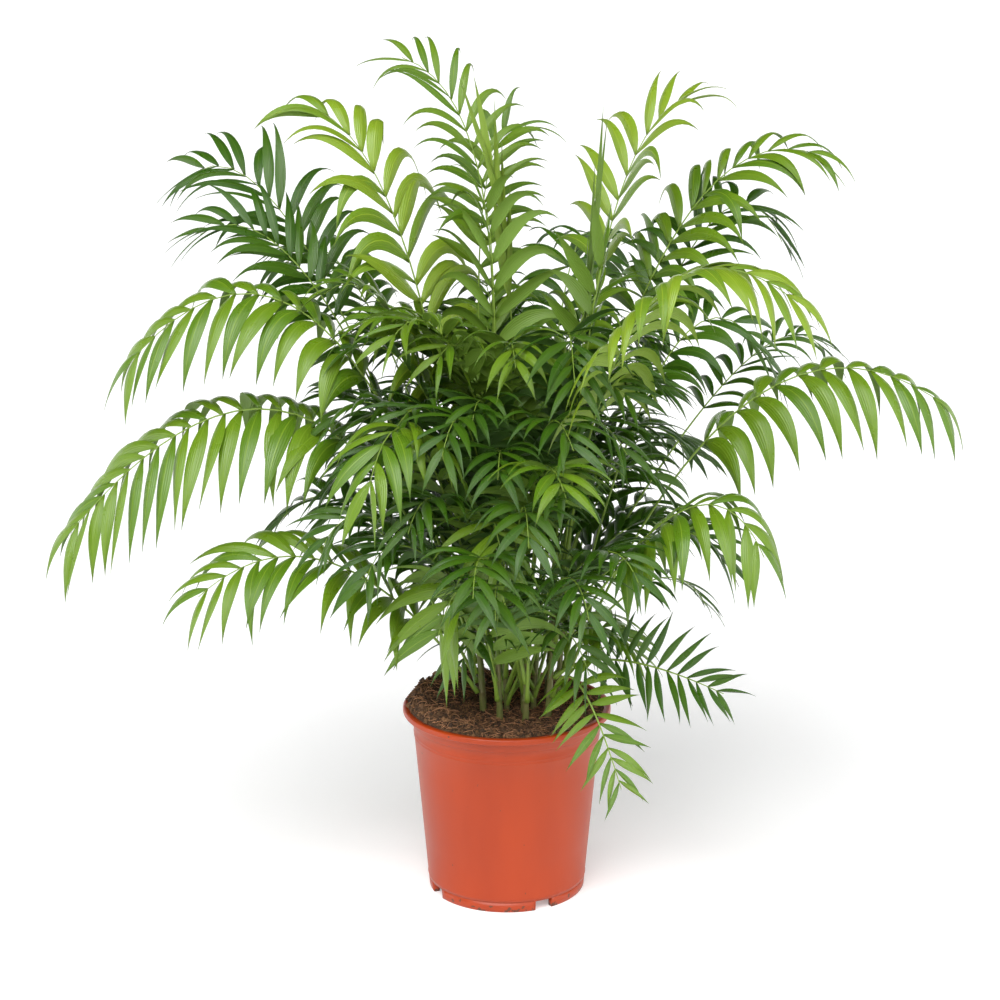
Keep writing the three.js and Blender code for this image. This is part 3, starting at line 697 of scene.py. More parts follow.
class PotSettings(bpy.types.PropertyGroup):
    """The nursery pot, in millimetres."""

    height: FloatProperty(name="Height", description="Foot to lip", default=224)
    lip_radius: FloatProperty(name="Lip radius", description="Outside of the lip", default=122)
    lip_height: FloatProperty(name="Lip height", description="How deep the lip's edge is", default=8)
    lip_width: FloatProperty(name="Lip width", description="The flat on top of the lip", default=6)
    collar: FloatProperty(name="Collar", description="Top of the lip to the band's foot", default=20)
    collar_step: FloatProperty(name="Collar step", description="How proud the band stands", default=2.4)
    neck_radius: FloatProperty(name="Neck radius", description="Wall's outside at the top", default=112)
    foot_radius: FloatProperty(name="Foot radius", description="Wall's outside at the foot", default=92)
    wall: FloatProperty(name="Wall", description="Thickness of the plastic", default=2.4)
    channel: FloatProperty(name="Channel height", description="Hollow under the pot", default=12)
    ring_width: FloatProperty(name="Foot ring", description="Width of the ring that rests", default=7)
    notch_width: FloatProperty(name="Notch width", description="Each gap in the foot ring", default=22)
    first_notch: FloatProperty(
        name="First notch", description="Its heading", default=math.radians(28), subtype="ANGLE"
    )
    hub_radius: FloatProperty(name="Hub radius", description="The flat middle that rests", default=54)
    segments: IntProperty(name="Segments", description="Steps round the pot", default=128)
    colour: FloatVectorProperty(
        name="Colour", description="Terracotta plastic", default=(0.37, 0.0405, 0.0045), subtype="COLOR"
    )


class SoilSettings(bpy.types.PropertyGroup):
    """The coir that fills the pot."""

    crumbs: IntProperty(name="Crumbs", description="Loose crumbs on top", default=6500)
    fibres: IntProperty(name="Fibres", description="Loose fibres on top", default=2400)
    colour: FloatVectorProperty(
        name="Colour", description="Damp coir", default=(0.098, 0.047, 0.019), subtype="COLOR"
    )
    fibre_colour: FloatVectorProperty(
        name="Fibre colour", description="Dry coir strands", default=(0.42, 0.2, 0.095), subtype="COLOR"
    )


class PlantSettings(bpy.types.PropertyGroup):
    """The palm's colours."""

    young: FloatVectorProperty(
        name="Young leaf", description="New leaflets", default=(0.195, 0.3, 0.018), subtype="COLOR"
    )
    mature: FloatVectorProperty(
        name="Mature leaf", description="Grown leaflets", default=(0.12, 0.216, 0.0095), subtype="COLOR"
    )
    shade: FloatVectorProperty(
        name="Shaded leaf", description="Inner leaflets", default=(0.046, 0.114, 0.005), subtype="COLOR"
    )
    rib_colour: FloatVectorProperty(
        name="Ribs", description="Petioles and rachises", default=(0.19, 0.3, 0.035), subtype="COLOR"
    )
    cane_colour: FloatVectorProperty(
        name="Canes", description="Green of the canes", default=(0.13, 0.21, 0.03), subtype="COLOR"
    )
    sheath_colour: FloatVectorProperty(
        name="Sheaths", description="Brown of old sheaths", default=(0.16, 0.1, 0.05), subtype="COLOR"
    )


# ---- leaflets and ribs ----

# Across a leaflet: place from edge to edge, how far the face falls away from the midrib, and half
# the blade's thickness there, in parts of the half width and in millimetres.
ACROSS = np.array([-1.0, -0.5, -0.07, 0.07, 0.5, 1.0])
FALL = np.array([-0.26, -0.07, 0.0, 0.0, -0.07, -0.26])
HALF_THICK = np.array([0.0, 0.16, 0.3, 0.3, 0.16, 0.0])
RING = np.concatenate([np.arange(6), np.arange(4, 0, -1)])
RING_SIDE = np.array([1] * 6 + [-1] * 4)
RINGS = 13
LEAF, LEAF_DEEP, MIDRIB, UNDERSIDE = range(4)
STRIPS = np.array([LEAF, LEAF, MIDRIB, LEAF, LEAF] + [UNDERSIDE] * 5)
DEEP_SHARE = 0.4
LEFT_EDGE, RIGHT_EDGE = 1, 2

# The most of a rib that its blade takes, where the first pair of leaflets stands on it, how much
# narrower they grow towards its tip, and how far each strays from the rule: along the rib in pairs,
# by angles in degrees, by a range of shares, or by a bend sideways or at the tip.
BLADE_MOST = 0.85
FIRST_PAIR = 0.3
NARROWING = 0.35
SLIP_STRAY = 0.12
ANGLE_STRAY = 5.5
TWIST_STRAY = 22
LIFT_RANGE = (0.6, 1.4)
LENGTH_RANGE = (0.93, 1.05)
DROOP_RANGE = (0.68, 1.32)
WIDTH_RANGE = (0.88, 1.08)
SWEEP_STRAY = 0.3
CURL_MOST = 0.9
CURL_FROM = 0.7


def leaflet_width(share):
    """Half width along a leaflet: a narrow root, fullest before the middle, then a long fine point."""
    body = np.sin(np.pi * share**0.72) ** 1.1 * (1 - 0.5 * share**3)
    return np.maximum(body, 0.2 * (1 - 2 * share))


def unit(vectors):
    return vectors / np.linalg.norm(vectors, axis=-1, keepdims=True)


def line_length(line):
    return np.linalg.norm(np.diff(line, axis=0), axis=1).sum()


def rib_frames(frond, distances):
    """Place, direction and the two cross directions of the rib at distances along it."""
    steps = np.linalg.norm(np.diff(frond.line, axis=0), axis=1)
    run = np.concatenate([[0], np.cumsum(steps)])
    slopes = np.gradient(frond.line, run, axis=0)
    point = np.stack([np.interp(distances, run, frond.line[:, k]) for k in range(3)], axis=-1)
    along = unit(np.stack([np.interp(distances, run, slopes[:, k]) for k in range(3)], axis=-1))
    share = np.clip(np.asarray(distances) / run[-1], 0, 1)
    ways = np.radians(frond.way + frond.turn * share + 90)
    left = np.stack([np.cos(ways), np.sin(ways), np.zeros_like(ways)], axis=-1)
    over = unit(np.cross(along, left))
    left = np.cross(over, along)
    roll = np.radians(frond.roll * np.minimum(1, share / ROLLED_AT))[:, None]
    rolled_left = left * np.cos(roll) + over * np.sin(roll)
    rolled_over = over * np.cos(roll) - left * np.sin(roll)
    return point, along, rolled_left, rolled_over


def leaflet_lengths(frond, share):
    """Leaflets are longest at a share of the blade and shorter towards its foot and tip."""
    before = 1 - (1 - SHORT_AT_FOOT) * ((FULLEST_AT - share) / FULLEST_AT) ** 2
    after = 1 - (1 - SHORT_AT_TIP) * ((share - FULLEST_AT) / (1 - FULLEST_AT)) ** 2
    return frond.leaf * np.where(share < FULLEST_AT, before, after)


def leaflet_grids(frond, rng):
    """Centre lines, cross directions, normals, sides and places of all of a frond's leaflets."""
    length = line_length(frond.line)
    blade = min(frond.blade, length * BLADE_MOST)
    share = np.repeat((np.arange(frond.pairs) + FIRST_PAIR) / frond.pairs, 2)
    total = len(share)
    side = np.tile([1.0, -1.0], frond.pairs)[:, None]
    slip = rng.uniform(-SLIP_STRAY, SLIP_STRAY, total) / frond.pairs
    point, along, left, over = rib_frames(frond, length - blade * (1 - share - slip))
    turned = STEEP_ANGLE + (FORWARD_ANGLE - STEEP_ANGLE) * share**1.2
    turned = (turned + rng.normal(0, ANGLE_STRAY, total)) * (1 - UPRIGHT * np.maximum(0, along[:, 2]))
    angle = np.radians(np.full_like(share, SPEAR_ANGLE) if frond.spear else turned)[:, None]
    raised = 0 if frond.spear else LIFT * max(0, 1 - LIFT_LOST * frond.droop)
    lift = raised * rng.uniform(*LIFT_RANGE, (total, 1))
    start = unit(along * np.cos(angle) + left * side * np.sin(angle) + over * lift)
    lengths = leaflet_lengths(frond, share) * rng.uniform(*LENGTH_RANGE, total)
    droop = frond.droop * rng.uniform(*DROOP_RANGE, (total, 1))
    sweep = rng.normal(0.0, SWEEP_STRAY, (total, 1))
    curl = rng.uniform(0, CURL_MOST, (total, 1))
    step = (lengths / RINGS)[:, None]
    line, across, normal = [point], [], []
    blade_way = along
    for k in range(RINGS + 1):
        at = (k + 0.5) / RINGS
        sink = droop * BEND * at**BEND_POWER + curl * max(0, at - CURL_FROM)
        ahead = unit(start + along * sweep * at - sink * np.array([0, 0, 1]))
        blade_way = unit(blade_way - ahead * (blade_way * ahead).sum(-1, keepdims=True))
        across.append(blade_way)
        normal.append(np.cross(blade_way, ahead) * side)
        line.append(line[-1] + ahead * step)
    lines = np.stack(line[: RINGS + 1], axis=1)
    across = np.stack(across, axis=1)
    normal = np.stack(normal, axis=1)
    twist = np.radians(rng.normal(0, TWIST_STRAY, total))[:, None, None]
    twist = twist * np.linspace(0.3, 1, RINGS + 1)[None, :, None]
    twisted_across = across * np.cos(twist) + normal * np.sin(twist)
    twisted_normal = normal * np.cos(twist) - across * np.sin(twist)
    return lines, twisted_across, twisted_normal, side, share


def leaflet_mesh(name, fronds):
    """All leaflets of the fronds as one mesh of thin closed leaves."""
    ring = len(RING)
    share = np.arange(RINGS) / RINGS
    wide = ACROSS[RING][None, None, :, None]
    thick = (HALF_THICK[RING] * RING_SIDE)[None, None, :, None]
    fall = FALL[RING][None, None, :, None]
    leaves, right, deep = [], [], []
    for frond in fronds:
        rng = np.random.default_rng(sum(frond.name.encode()))
        lines, across, normal, side, place_on_blade = leaflet_grids(frond, rng)
        total = len(lines)
        fullness = (1 - NARROWING * place_on_blade**2) * rng.uniform(*WIDTH_RANGE, total)
        half = leaflet_width(share) * frond.width / 2
        half = half[None, :, None, None] * fullness[:, None, None, None]
        body = (
            lines[:, :RINGS, None]
            + across[:, :RINGS, None] * wide * half
            + normal[:, :RINGS, None] * (fall * half + thick)
        )
        leaves.append(np.concatenate([body.reshape(total, -1, 3), lines[:, RINGS:]], axis=1))
        right.append(side[:, 0] < 0)
        deep.append(rng.uniform(size=total) < DEEP_SHARE)
    leaves, right, deep = (np.concatenate(parts) for parts in (leaves, right, deep))
    total, per_leaf = leaves.shape[:2]
    last = (RINGS - 1) * ring + np.arange(ring)
    tip = np.stack([last, np.roll(last, -1), np.full(ring, per_leaf - 1)], axis=-1)
    root = np.arange(ring)[None, ::-1]
    faces = []
    for pattern in (tube_quads(ring, RINGS), tip, root):
        corners = pattern[None] + np.arange(total)[:, None, None] * per_leaf
        corners[right] = corners[right][:, :, ::-1]
        faces += corners.reshape(-1, pattern.shape[1]).tolist()
    strips = np.where(deep[:, None] & (STRIPS == LEAF), LEAF_DEEP, STRIPS)
    slots = np.concatenate([np.tile(strips, RINGS - 1).ravel(), strips.ravel(), np.full(total, LEAF)])
    uvs = np.stack([np.tile((ACROSS[RING] + 1) / 2, RINGS), np.repeat(share, ring)], axis=-1)
    uvs = np.tile(np.concatenate([uvs, [[0.5, 1.0]]]), (total, 1))
    edge = np.zeros(per_leaf, dtype=int)
    edge[0:-1:ring] = LEFT_EDGE
    edge[5:-1:ring] = RIGHT_EDGE
    return mesh_from_arrays(name, leaves.reshape(-1, 3), faces, slots, uvs, np.tile(edge, total))


# A rib's radius at its foot, what it loses towards the tip, and what its sheath adds at the foot and
# over what length.
RIB_SIDES = 8
RIB_STATIONS = 34
RIB_RADIUS = 2.1
RIB_TAPER = 1.65
SHEATH_FLARE = 1.3
SHEATH_REACH = 16


def rib_mesh(name, fronds):
    """Petioles and rachises as one mesh of tapering tubes that flare where they clasp a stem."""
    points, faces, count = [], [], 0
    turn = np.arange(RIB_SIDES) * FULL_TURN / RIB_SIDES
    for frond in fronds:
        total = line_length(frond.line)
        distance = total * np.linspace(0, 1, RIB_STATIONS) ** 1.15
        point, _, left, over = rib_frames(frond, distance)
        share = distance / total
        radius = (RIB_RADIUS - RIB_TAPER * share**0.8) + SHEATH_FLARE * np.exp(-distance / SHEATH_REACH)
        ring = left[:, None] * np.cos(turn)[None, :, None] + over[:, None] * np.sin(turn)[None, :, None]
        tube = point[:, None] + ring * radius[:, None, None]
        points.append(tube.reshape(-1, 3))
        faces += np.roll(count + tube_quads(RIB_SIDES, RIB_STATIONS), 1, axis=1).tolist()
        first = count + np.arange(RIB_SIDES)
        faces.append(first[::-1].tolist())
        faces.append((first + (RIB_STATIONS - 1) * RIB_SIDES).tolist())
        count += RIB_STATIONS * RIB_SIDES
    return mesh_from_arrays(name, np.concatenate(points), faces, np.zeros(len(faces)))


# The finishes of a leaflet, two shades of its face, the midrib and the underside: the end of the
# name, what share of the tone's colour each takes, what is added to it, and its roughness.
LEAF_KINDS = (
    ("", (1, 1, 1), (0, 0, 0), 0.27),
    ("_deep", (0.72, 0.82, 0.85), (0, 0, 0), 0.27),
    ("_midrib", (1.12, 1.08, 1.1), (0.008, 0.008, 0.004), 0.27),
    ("_underside", (0.98, 0.98, 1.3), (0.004, 0.008, 0.006), 0.46),
)


def leaf_finishes():
    """The leaflet finishes by tone, each made once."""
    finishes = {}
    for tone in ("young", "mature", "shade"):
        colour = getattr(bpy.context.scene.palm_plant, tone)
        finishes[tone] = [
            bpy.data.materials.get(f"leaflet_{tone}{kind}")
            or leaf_material(f"leaflet_{tone}{kind}", toned(colour, shares, lift), roughness)
            for kind, shares, lift, roughness in LEAF_KINDS
        ]
    return finishes


def rib_finish():
    known = bpy.data.materials.get("rib_skin")
    return known or rib_material("rib_skin", bpy.context.scene.palm_plant.rib_colour)


FRONDS, CANE_LOADS = grow_plan()


# ---- operators ----

# The stage, in metres: a round floor with a wall inside its edge, and the strip lights.
FLOOR_RADIUS = 60
WALL_RADIUS = 58
WALL_HEIGHT = 14
WALL_SUNK = 0.1
STRIP_SIZE = (0.3, 1.8)
STRIP_PLACE = (2.0, -0.2, 0.9)
STRIP_TURN = 1.47
KEY_SOFTNESS = math.radians(46)
FILL_SOFTNESS = math.radians(60)
WHITE = (1, 1, 1, 1)


class PALM_OT_stage(bpy.types.Operator):
    """Sets up the camera, the soft light and the pale floor"""

    bl_idname = "palm.stage"
    bl_label = "Stage"

    def execute(self, context):
        settings = context.scene.palm_stage
        camera = self.placed(context, "camera", bpy.data.cameras.new("camera"))
        camera.location = (settings.aside, -settings.distance, settings.eye_height)
        camera.rotation_euler = (math.pi / 2 - settings.pitch, 0, 0)
        camera.data.lens = settings.lens
        camera.data.sensor_width = 36
        camera.data.clip_end = 200
        context.scene.camera = camera
        self.light(context, "key", settings.key, settings.key_turn, KEY_SOFTNESS)
        self.light(context, "fill", settings.fill, settings.fill_turn, FILL_SOFTNESS)
        for side in (-1, 1):
            self.strip_light(context, settings.strip, side)
        world = bpy.data.worlds.new("studio")
        world.use_nodes = True
        sky = world.node_tree.nodes["Background"]
        sky.inputs["Color"].default_value = WHITE
        sky.inputs["Strength"].default_value = settings.sky
        context.scene.world = world
        context.scene.view_settings.view_transform = "Standard"
        self.floor(context, settings)
        self.far_wall(context, settings)
        return {"FINISHED"}

    def placed(self, context, name, data):
        """An object of the stage, in the scene."""
        thing = bpy.data.objects.new(name, data)
        context.scene.collection.objects.link(thing)
        return thing

    def light(self, context, name, strength, turn, softness):
        lamp = bpy.data.lights.new(name, "SUN")
        lamp.energy = strength
        lamp.angle = softness
        self.placed(context, name, lamp).rotation_euler = turn

    def strip_light(self, context, power, side):
        """A tall soft light to one side of the plant."""
        lamp = bpy.data.lights.new("strip", "AREA")
        lamp.energy = power
        lamp.shape = "RECTANGLE"
        lamp.size, lamp.size_y = STRIP_SIZE
        holder = self.placed(context, "strip", lamp)
        holder.location = (side * STRIP_PLACE[0], *STRIP_PLACE[1:])
        holder.rotation_euler = (math.pi / 2, 0, side * STRIP_TURN)

    def paper(self, name, bm, colour, glow):
        """A glowing paper surface: its mesh, material and shader."""
        mesh = bpy.data.meshes.new(name)
        bm.to_mesh(mesh)
        bm.free()
        material, shader = new_material(f"{name}_paper", colour, 0.9)
        shader.inputs["Emission Color"].default_value = WHITE
        shader.inputs["Emission Strength"].default_value = glow
        mesh.materials.append(material)
        return mesh, material, shader

    def floor(self, context, settings):
        bm = bmesh.new()
        bmesh.ops.create_circle(bm, cap_ends=True, segments=64, radius=FLOOR_RADIUS)
        mesh, material, shader = self.paper("floor", bm, settings.floor_colour, settings.floor_glow)
        emboss(material, shader, noise_on(material, 400), 0.00005)
        ground = self.placed(context, "floor", mesh)

    def far_wall(self, context, settings):
        """A round white wall at the floor's far edge, that throws no shadow."""
        bm = bmesh.new()
        bmesh.ops.create_cone(
            bm, cap_ends=False, segments=64, radius1=WALL_RADIUS, radius2=WALL_RADIUS, depth=WALL_HEIGHT
        )
        bmesh.ops.translate(bm, verts=bm.verts, vec=(0, 0, WALL_HEIGHT / 2 - WALL_SUNK))
        bmesh.ops.reverse_faces(bm, faces=bm.faces)
        mesh, _, _ = self.paper("wall", bm, settings.floor_colour, settings.wall_glow)
        wall = self.placed(context, "far_wall", mesh)
        wall.visible_shadow = False


# The pot's small measures: the moulded lines' heights over the foot and under the lip, their breadth
# and how proud they stand, further heights along the wall, the bead of the lip, and the roundings of
# the hub and of the foot ring.
LOW_LINE = 16
LINES_UNDER_LIP = (27, 23)
LINE_HALF = 0.9
LINE_PROUD = 0.55
WALL_HEIGHTS = (60, 110, 155)
LIP_BEAD = 2.6
BEAD_STEPS = 4
HUB_EDGE = 2
ROUNDING = 0.6
FOOT_EDGE = 0.7
FOOT_OUT = 0.06
FOOT_STEPS = 24
FEET = 4


class PALM_OT_pot(bpy.types.Operator):
    """Turns the nursery pot: wall, collar, lip, floor and the notched foot ring"""

    bl_idname = "palm.pot"
    bl_label = "Pot"

    def execute(self, context):
        pot = context.scene.palm_pot
        material = pot_material(pot)
        body = bmesh.new()
        spin(body, section_line(body, self.profile(pot)), pot.segments)
        mesh = mesh_from_bmesh("pot", body)
        add_piece("nursery_pot", mesh, [material], ["pot"])
        feet = bmesh.new()
        for k in range(FEET):
            self.foot(feet, pot, pot.first_notch + k * FULL_TURN / FEET)
        mesh = mesh_from_bmesh("pot_feet", feet)
        add_piece("nursery_pot_feet", mesh, [material], ["pot"])
        return {"FINISHED"}

    def wall_radius(self, pot, height):
        return pot.foot_radius + (pot.neck_radius - pot.foot_radius) * height / pot.height

    def profile(self, pot):
        """The wall's section from the middle of the underside round to the middle of the floor."""
        collar = pot.height - pot.collar
        lip = pot.height - pot.lip_height
        inner_floor = pot.channel + pot.wall
        at_collar, at_lip = self.wall_radius(pot, collar), self.wall_radius(pot, lip)
        step = pot.collar_step
        hub = pot.hub_radius
        points = [(0, 0), (hub - HUB_EDGE, 0), (hub, ROUNDING), (hub + 2.4, pot.channel - ROUNDING)]
        points += [(hub + 4, pot.channel), (self.wall_radius(pot, pot.channel), pot.channel)]
        points += self.moulded_line(pot, LOW_LINE)
        points += [(self.wall_radius(pot, height), height) for height in WALL_HEIGHTS]
        for below in LINES_UNDER_LIP:
            points += self.moulded_line(pot, lip - below)
        points += [(at_collar, collar), (at_collar + step * 0.6, collar + 0.9)]
        points += [(at_collar + step, collar + 2.4)]
        points += [(at_lip + step, lip - 0.5), (at_lip + step + 0.5, lip)]
        for centre_height, start in ((lip + LIP_BEAD, -90), (pot.height - LIP_BEAD, 0)):
            for k in range(BEAD_STEPS + 1):
                angle = math.radians(start + 90 / BEAD_STEPS * k)
                out = pot.lip_radius - LIP_BEAD + LIP_BEAD * math.cos(angle)
                points.append((out, centre_height + LIP_BEAD * math.sin(angle)))
        inside = pot.lip_radius - 2 - pot.lip_width
        points += [(inside + 1, pot.height - 0.2), (inside - 0.4, pot.height - 1.2)]
        points += [(at_lip - pot.wall, lip)]
        points += [(self.wall_radius(pot, inner_floor) - pot.wall, inner_floor), (0, inner_floor)]
        return points

    def moulded_line(self, pot, height):
        """A fine raised line round the wall."""
        radius = self.wall_radius(pot, height)
        crest = (radius + LINE_PROUD, height)
        return [(radius, height - LINE_HALF), crest, (radius + 0.1, height + LINE_HALF)]

    def foot(self, bm, pot, notch):
        """One of the four arcs of the foot ring, from notch to notch."""
        half_notch = pot.notch_width / 2 / pot.foot_radius
        start = notch + half_notch
        sweep = FULL_TURN / FEET - 2 * half_notch
        outer, inner = pot.foot_radius, pot.foot_radius - pot.ring_width
        section = [(inner, FOOT_EDGE), (inner + FOOT_EDGE, 0)]
        section += [(outer - FOOT_EDGE, 0), (outer + FOOT_OUT, FOOT_EDGE)]
        section += [(self.wall_radius(pot, pot.channel), pot.channel), (inner - 0.4, pot.channel)]
        out = Vector((math.cos(start), math.sin(start), 0))
        corners = [bm.verts.new(out * radius + Vector((0, 0, height))) for radius, height in section]
        face = bm.faces.new(corners)
        spin(bm, [face], FOOT_STEPS, sweep)


# The soil bed: its radius, steps outwards and round, foot radius and depth.
SOIL_SEED = 5
BED_RADIUS = 116
BED_RINGS = 68
BED_STEPS = 180
BED_FOOT_RADIUS = 106.6
BED_DEPTH = 14

# Its surface: the rise towards the lip and what the heaped side adds to it, from what radius and over
# what width, the scales and heights of fine and broad unevenness, and where and how high the soil
# lies on the lip.
MOUND = 5
MOUND_HEAPED = 17
MOUND_FROM = 60
MOUND_WIDTH = 36
FINE_SCALE = 0.17
FINE_HEIGHT = 3.8
BROAD_SCALE = 0.045
BROAD_HEIGHT = 3.5
BROAD_WITHIN = 50
LIP_FROM = 103
LIP_WIDTH = 13
LIP_LEVEL = 222.4
LIP_HEAPED = 2.6

# Loose crumbs and fibres: how far out they lie, the crumbs' sizes and how far they are out of shape,
# and the fibres' stations, thickness at each, share of pale ones, lengths and bend.
STREWN_RADIUS = 112.5
SPILL = 0.05
CRUMB_LEAST = 0.8
CRUMB_MORE = 3.6
CRUMB_SHAPE = (0.45, 1.3)
OCTAHEDRON = ((0, 1, 2), (1, 3, 2), (3, 4, 2), (4, 0, 2), (1, 0, 5), (3, 1, 5), (4, 3, 5), (0, 4, 5))
FIBRE_THICKNESS = np.array([0.3, 1, 1, 1, 0.8, 0.2])
FIBRE_SIDES = 3
PALE_SHARE = 0.3
FIBRE_LENGTH = (5, 16)
PALE_LONGER = (3, 16)
FIBRE_BEND = 1.3


def clamp(value):
    return max(0.0, min(1.0, value))


class PALM_OT_soil(bpy.types.Operator):
    """Fills the pot with coir, crumbs and fibres"""

    bl_idname = "palm.soil"
    bl_label = "Soil"

    def execute(self, context):
        soil = context.scene.palm_soil
        rng = np.random.default_rng(SOIL_SEED)
        bm = bmesh.new()
        section = [(radius, SOIL_TOP) for radius in np.linspace(0, BED_RADIUS, BED_RINGS)]
        section += [(BED_FOOT_RADIUS, SOIL_TOP - BED_DEPTH), (0, SOIL_TOP - BED_DEPTH)]
        spin(bm, section_line(bm, section), BED_STEPS)
        for vert in bm.verts:
            if vert.co.z > SOIL_TOP - 1:
                vert.co.z = self.surface(vert.co.x, vert.co.y)
        mesh = mesh_from_bmesh("soil", bm)
        add_piece("soil_bed", mesh, [soil_material(soil)], ["soil"])
        self.crumbs(soil, rng)
        self.fibres(soil, rng)
        return {"FINISHED"}

    def surface(self, x, y):
        """Height of the soil, heaped over the lip at the back left and level with it at the front."""
        radius = math.hypot(x, y)
        lean = max(0.0, math.cos(math.atan2(y, x) - HEAP_WAY))
        mound = (MOUND + MOUND_HEAPED * lean) * clamp((radius - MOUND_FROM) / MOUND_WIDTH)
        fine = noise.fractal(Vector((x, y, 3)) * FINE_SCALE, 0.7, 2.0, 5) * FINE_HEIGHT
        broad = noise.noise(Vector((x, y, 9)) * BROAD_SCALE) * BROAD_HEIGHT
        height = SOIL_TOP + mound + fine + broad * min(1.0, radius / BROAD_WITHIN)
        edge = clamp((radius - LIP_FROM) / LIP_WIDTH) ** 1.5
        on_lip = LIP_LEVEL + LIP_HEAPED * min(1.0, 2 * lean)
        return height + (on_lip - height) * edge

    def scatter(self, rng, count):
        """Places on the soil's surface, a little over the lip on the heaped side."""
        angle = rng.uniform(0, FULL_TURN, count)
        spill = 1 + SPILL * np.maximum(0, np.cos(angle - HEAP_WAY))
        radius = STREWN_RADIUS * spill * np.sqrt(rng.uniform(0, 1, count))
        x, y = radius * np.cos(angle), radius * np.sin(angle)
        z = np.array([self.surface(*spot) for spot in zip(x, y)])
        return np.stack([x, y, z], axis=-1)

    def crumbs(self, soil, rng):
        """Small lumps: octahedra pushed out of shape."""
        centre = self.scatter(rng, soil.crumbs)
        axes = np.concatenate([np.eye(3), -np.eye(3)])
        size = CRUMB_LEAST + CRUMB_MORE * rng.uniform(0, 1, (soil.crumbs, 1, 1)) ** 3
        size = size * rng.uniform(*CRUMB_SHAPE, (soil.crumbs, len(axes), 1))
        points = centre[:, None] + axes[None] * size
        starts = np.arange(soil.crumbs)[:, None, None] * len(axes)
        faces = (np.array(OCTAHEDRON)[None] + starts).reshape(-1, 3)
        shades = np.repeat(rng.integers(0, 3, soil.crumbs), len(OCTAHEDRON))
        mesh = mesh_from_arrays("crumbs", points.reshape(-1, 3), faces.tolist(), shades)
        mesh.shade_flat()
        finishes = []
        for name, share in (("crumb_dark", 0.38), ("crumb_brown", 1), ("crumb_pale", 1.6)):
            finishes.append(crumb_material(name, [channel * share for channel in soil.colour]))
        add_piece("soil_crumbs", mesh, finishes)

    def fibres(self, soil, rng):
        """Loose curved strands lying on the soil."""
        count, stations = soil.fibres, len(FIBRE_THICKNESS)
        centre = self.scatter(rng, count) * [0.97, 0.97, 1]
        way = rng.uniform(0, FULL_TURN, count)
        pale = rng.uniform(size=count) < PALE_SHARE
        length = rng.uniform(*FIBRE_LENGTH, count) + pale * rng.uniform(*PALE_LONGER, count)
        curl = rng.normal(0, FIBRE_BEND, count)
        run = np.linspace(-0.5, 0.5, stations)
        angle = way[:, None] + curl[:, None] * run
        x = centre[:, :1] + length[:, None] * run * np.cos(angle)
        y = centre[:, 1:2] + length[:, None] * run * np.sin(angle)
        shrink = np.minimum(1, BED_RADIUS / np.maximum(np.hypot(x, y), 1))
        arch = rng.uniform(0.2, 3.2, (count, 1)) * (1 - (2 * run) ** 2)
        z = centre[:, 2:] + arch + rng.uniform(-0.5, 1.2, (count, 1))
        line = np.stack([x * shrink, y * shrink, z], axis=-1)
        across = np.stack([-np.sin(angle), np.cos(angle), np.zeros_like(angle)], axis=-1)
        thick = rng.uniform(0.16, 0.4, count) + pale * rng.uniform(0.05, 0.22, count)
        radius = thick[:, None] * FIBRE_THICKNESS
        corners = []
        for turn in (0, FULL_TURN / 3, FULL_TURN * 2 / 3):
            offset = across * math.cos(turn) + np.array([0, 0, 1]) * math.sin(turn)
            corners.append(line + offset * radius[..., None])
        points = np.stack(corners, axis=2).reshape(count, -1, 3)
        quads = tube_quads(FIBRE_SIDES, stations)
        starts = np.arange(count)[:, None, None] * stations * FIBRE_SIDES
        faces = (quads[None] + starts).reshape(-1, 4).tolist()
        first = np.arange(FIBRE_SIDES)
        ends = np.array([first[::-1], first + (stations - 1) * FIBRE_SIDES])
        faces += (ends[None] + starts).reshape(-1, 3).tolist()
        shade = np.where(pale, 0, 1)
        slots = np.concatenate([np.repeat(shade, len(quads)), np.repeat(shade, 2)])
        mesh = mesh_from_arrays("fibres", points.reshape(-1, 3), faces, slots)
        brown = [channel * 0.32 for channel in soil.fibre_colour]
        colours = (("fibre_pale", soil.fibre_colour), ("fibre_brown", brown))
        finishes = [crumb_material(name, colour) for name, colour in colours]
        add_piece("soil_fibres", mesh, finishes)


# Stations along a stem and how far it swells there, from its foot and from each seat.
STEM_FOOT = ((-6, 1.25), (0, 1.2), (4, 1.08))
STEM_SEAT = ((-6, 1.0), (-2.2, 1.04), (-0.8, 1.2), (0, 1.22), (0.9, 1.0))
STEM_SIDES = 14


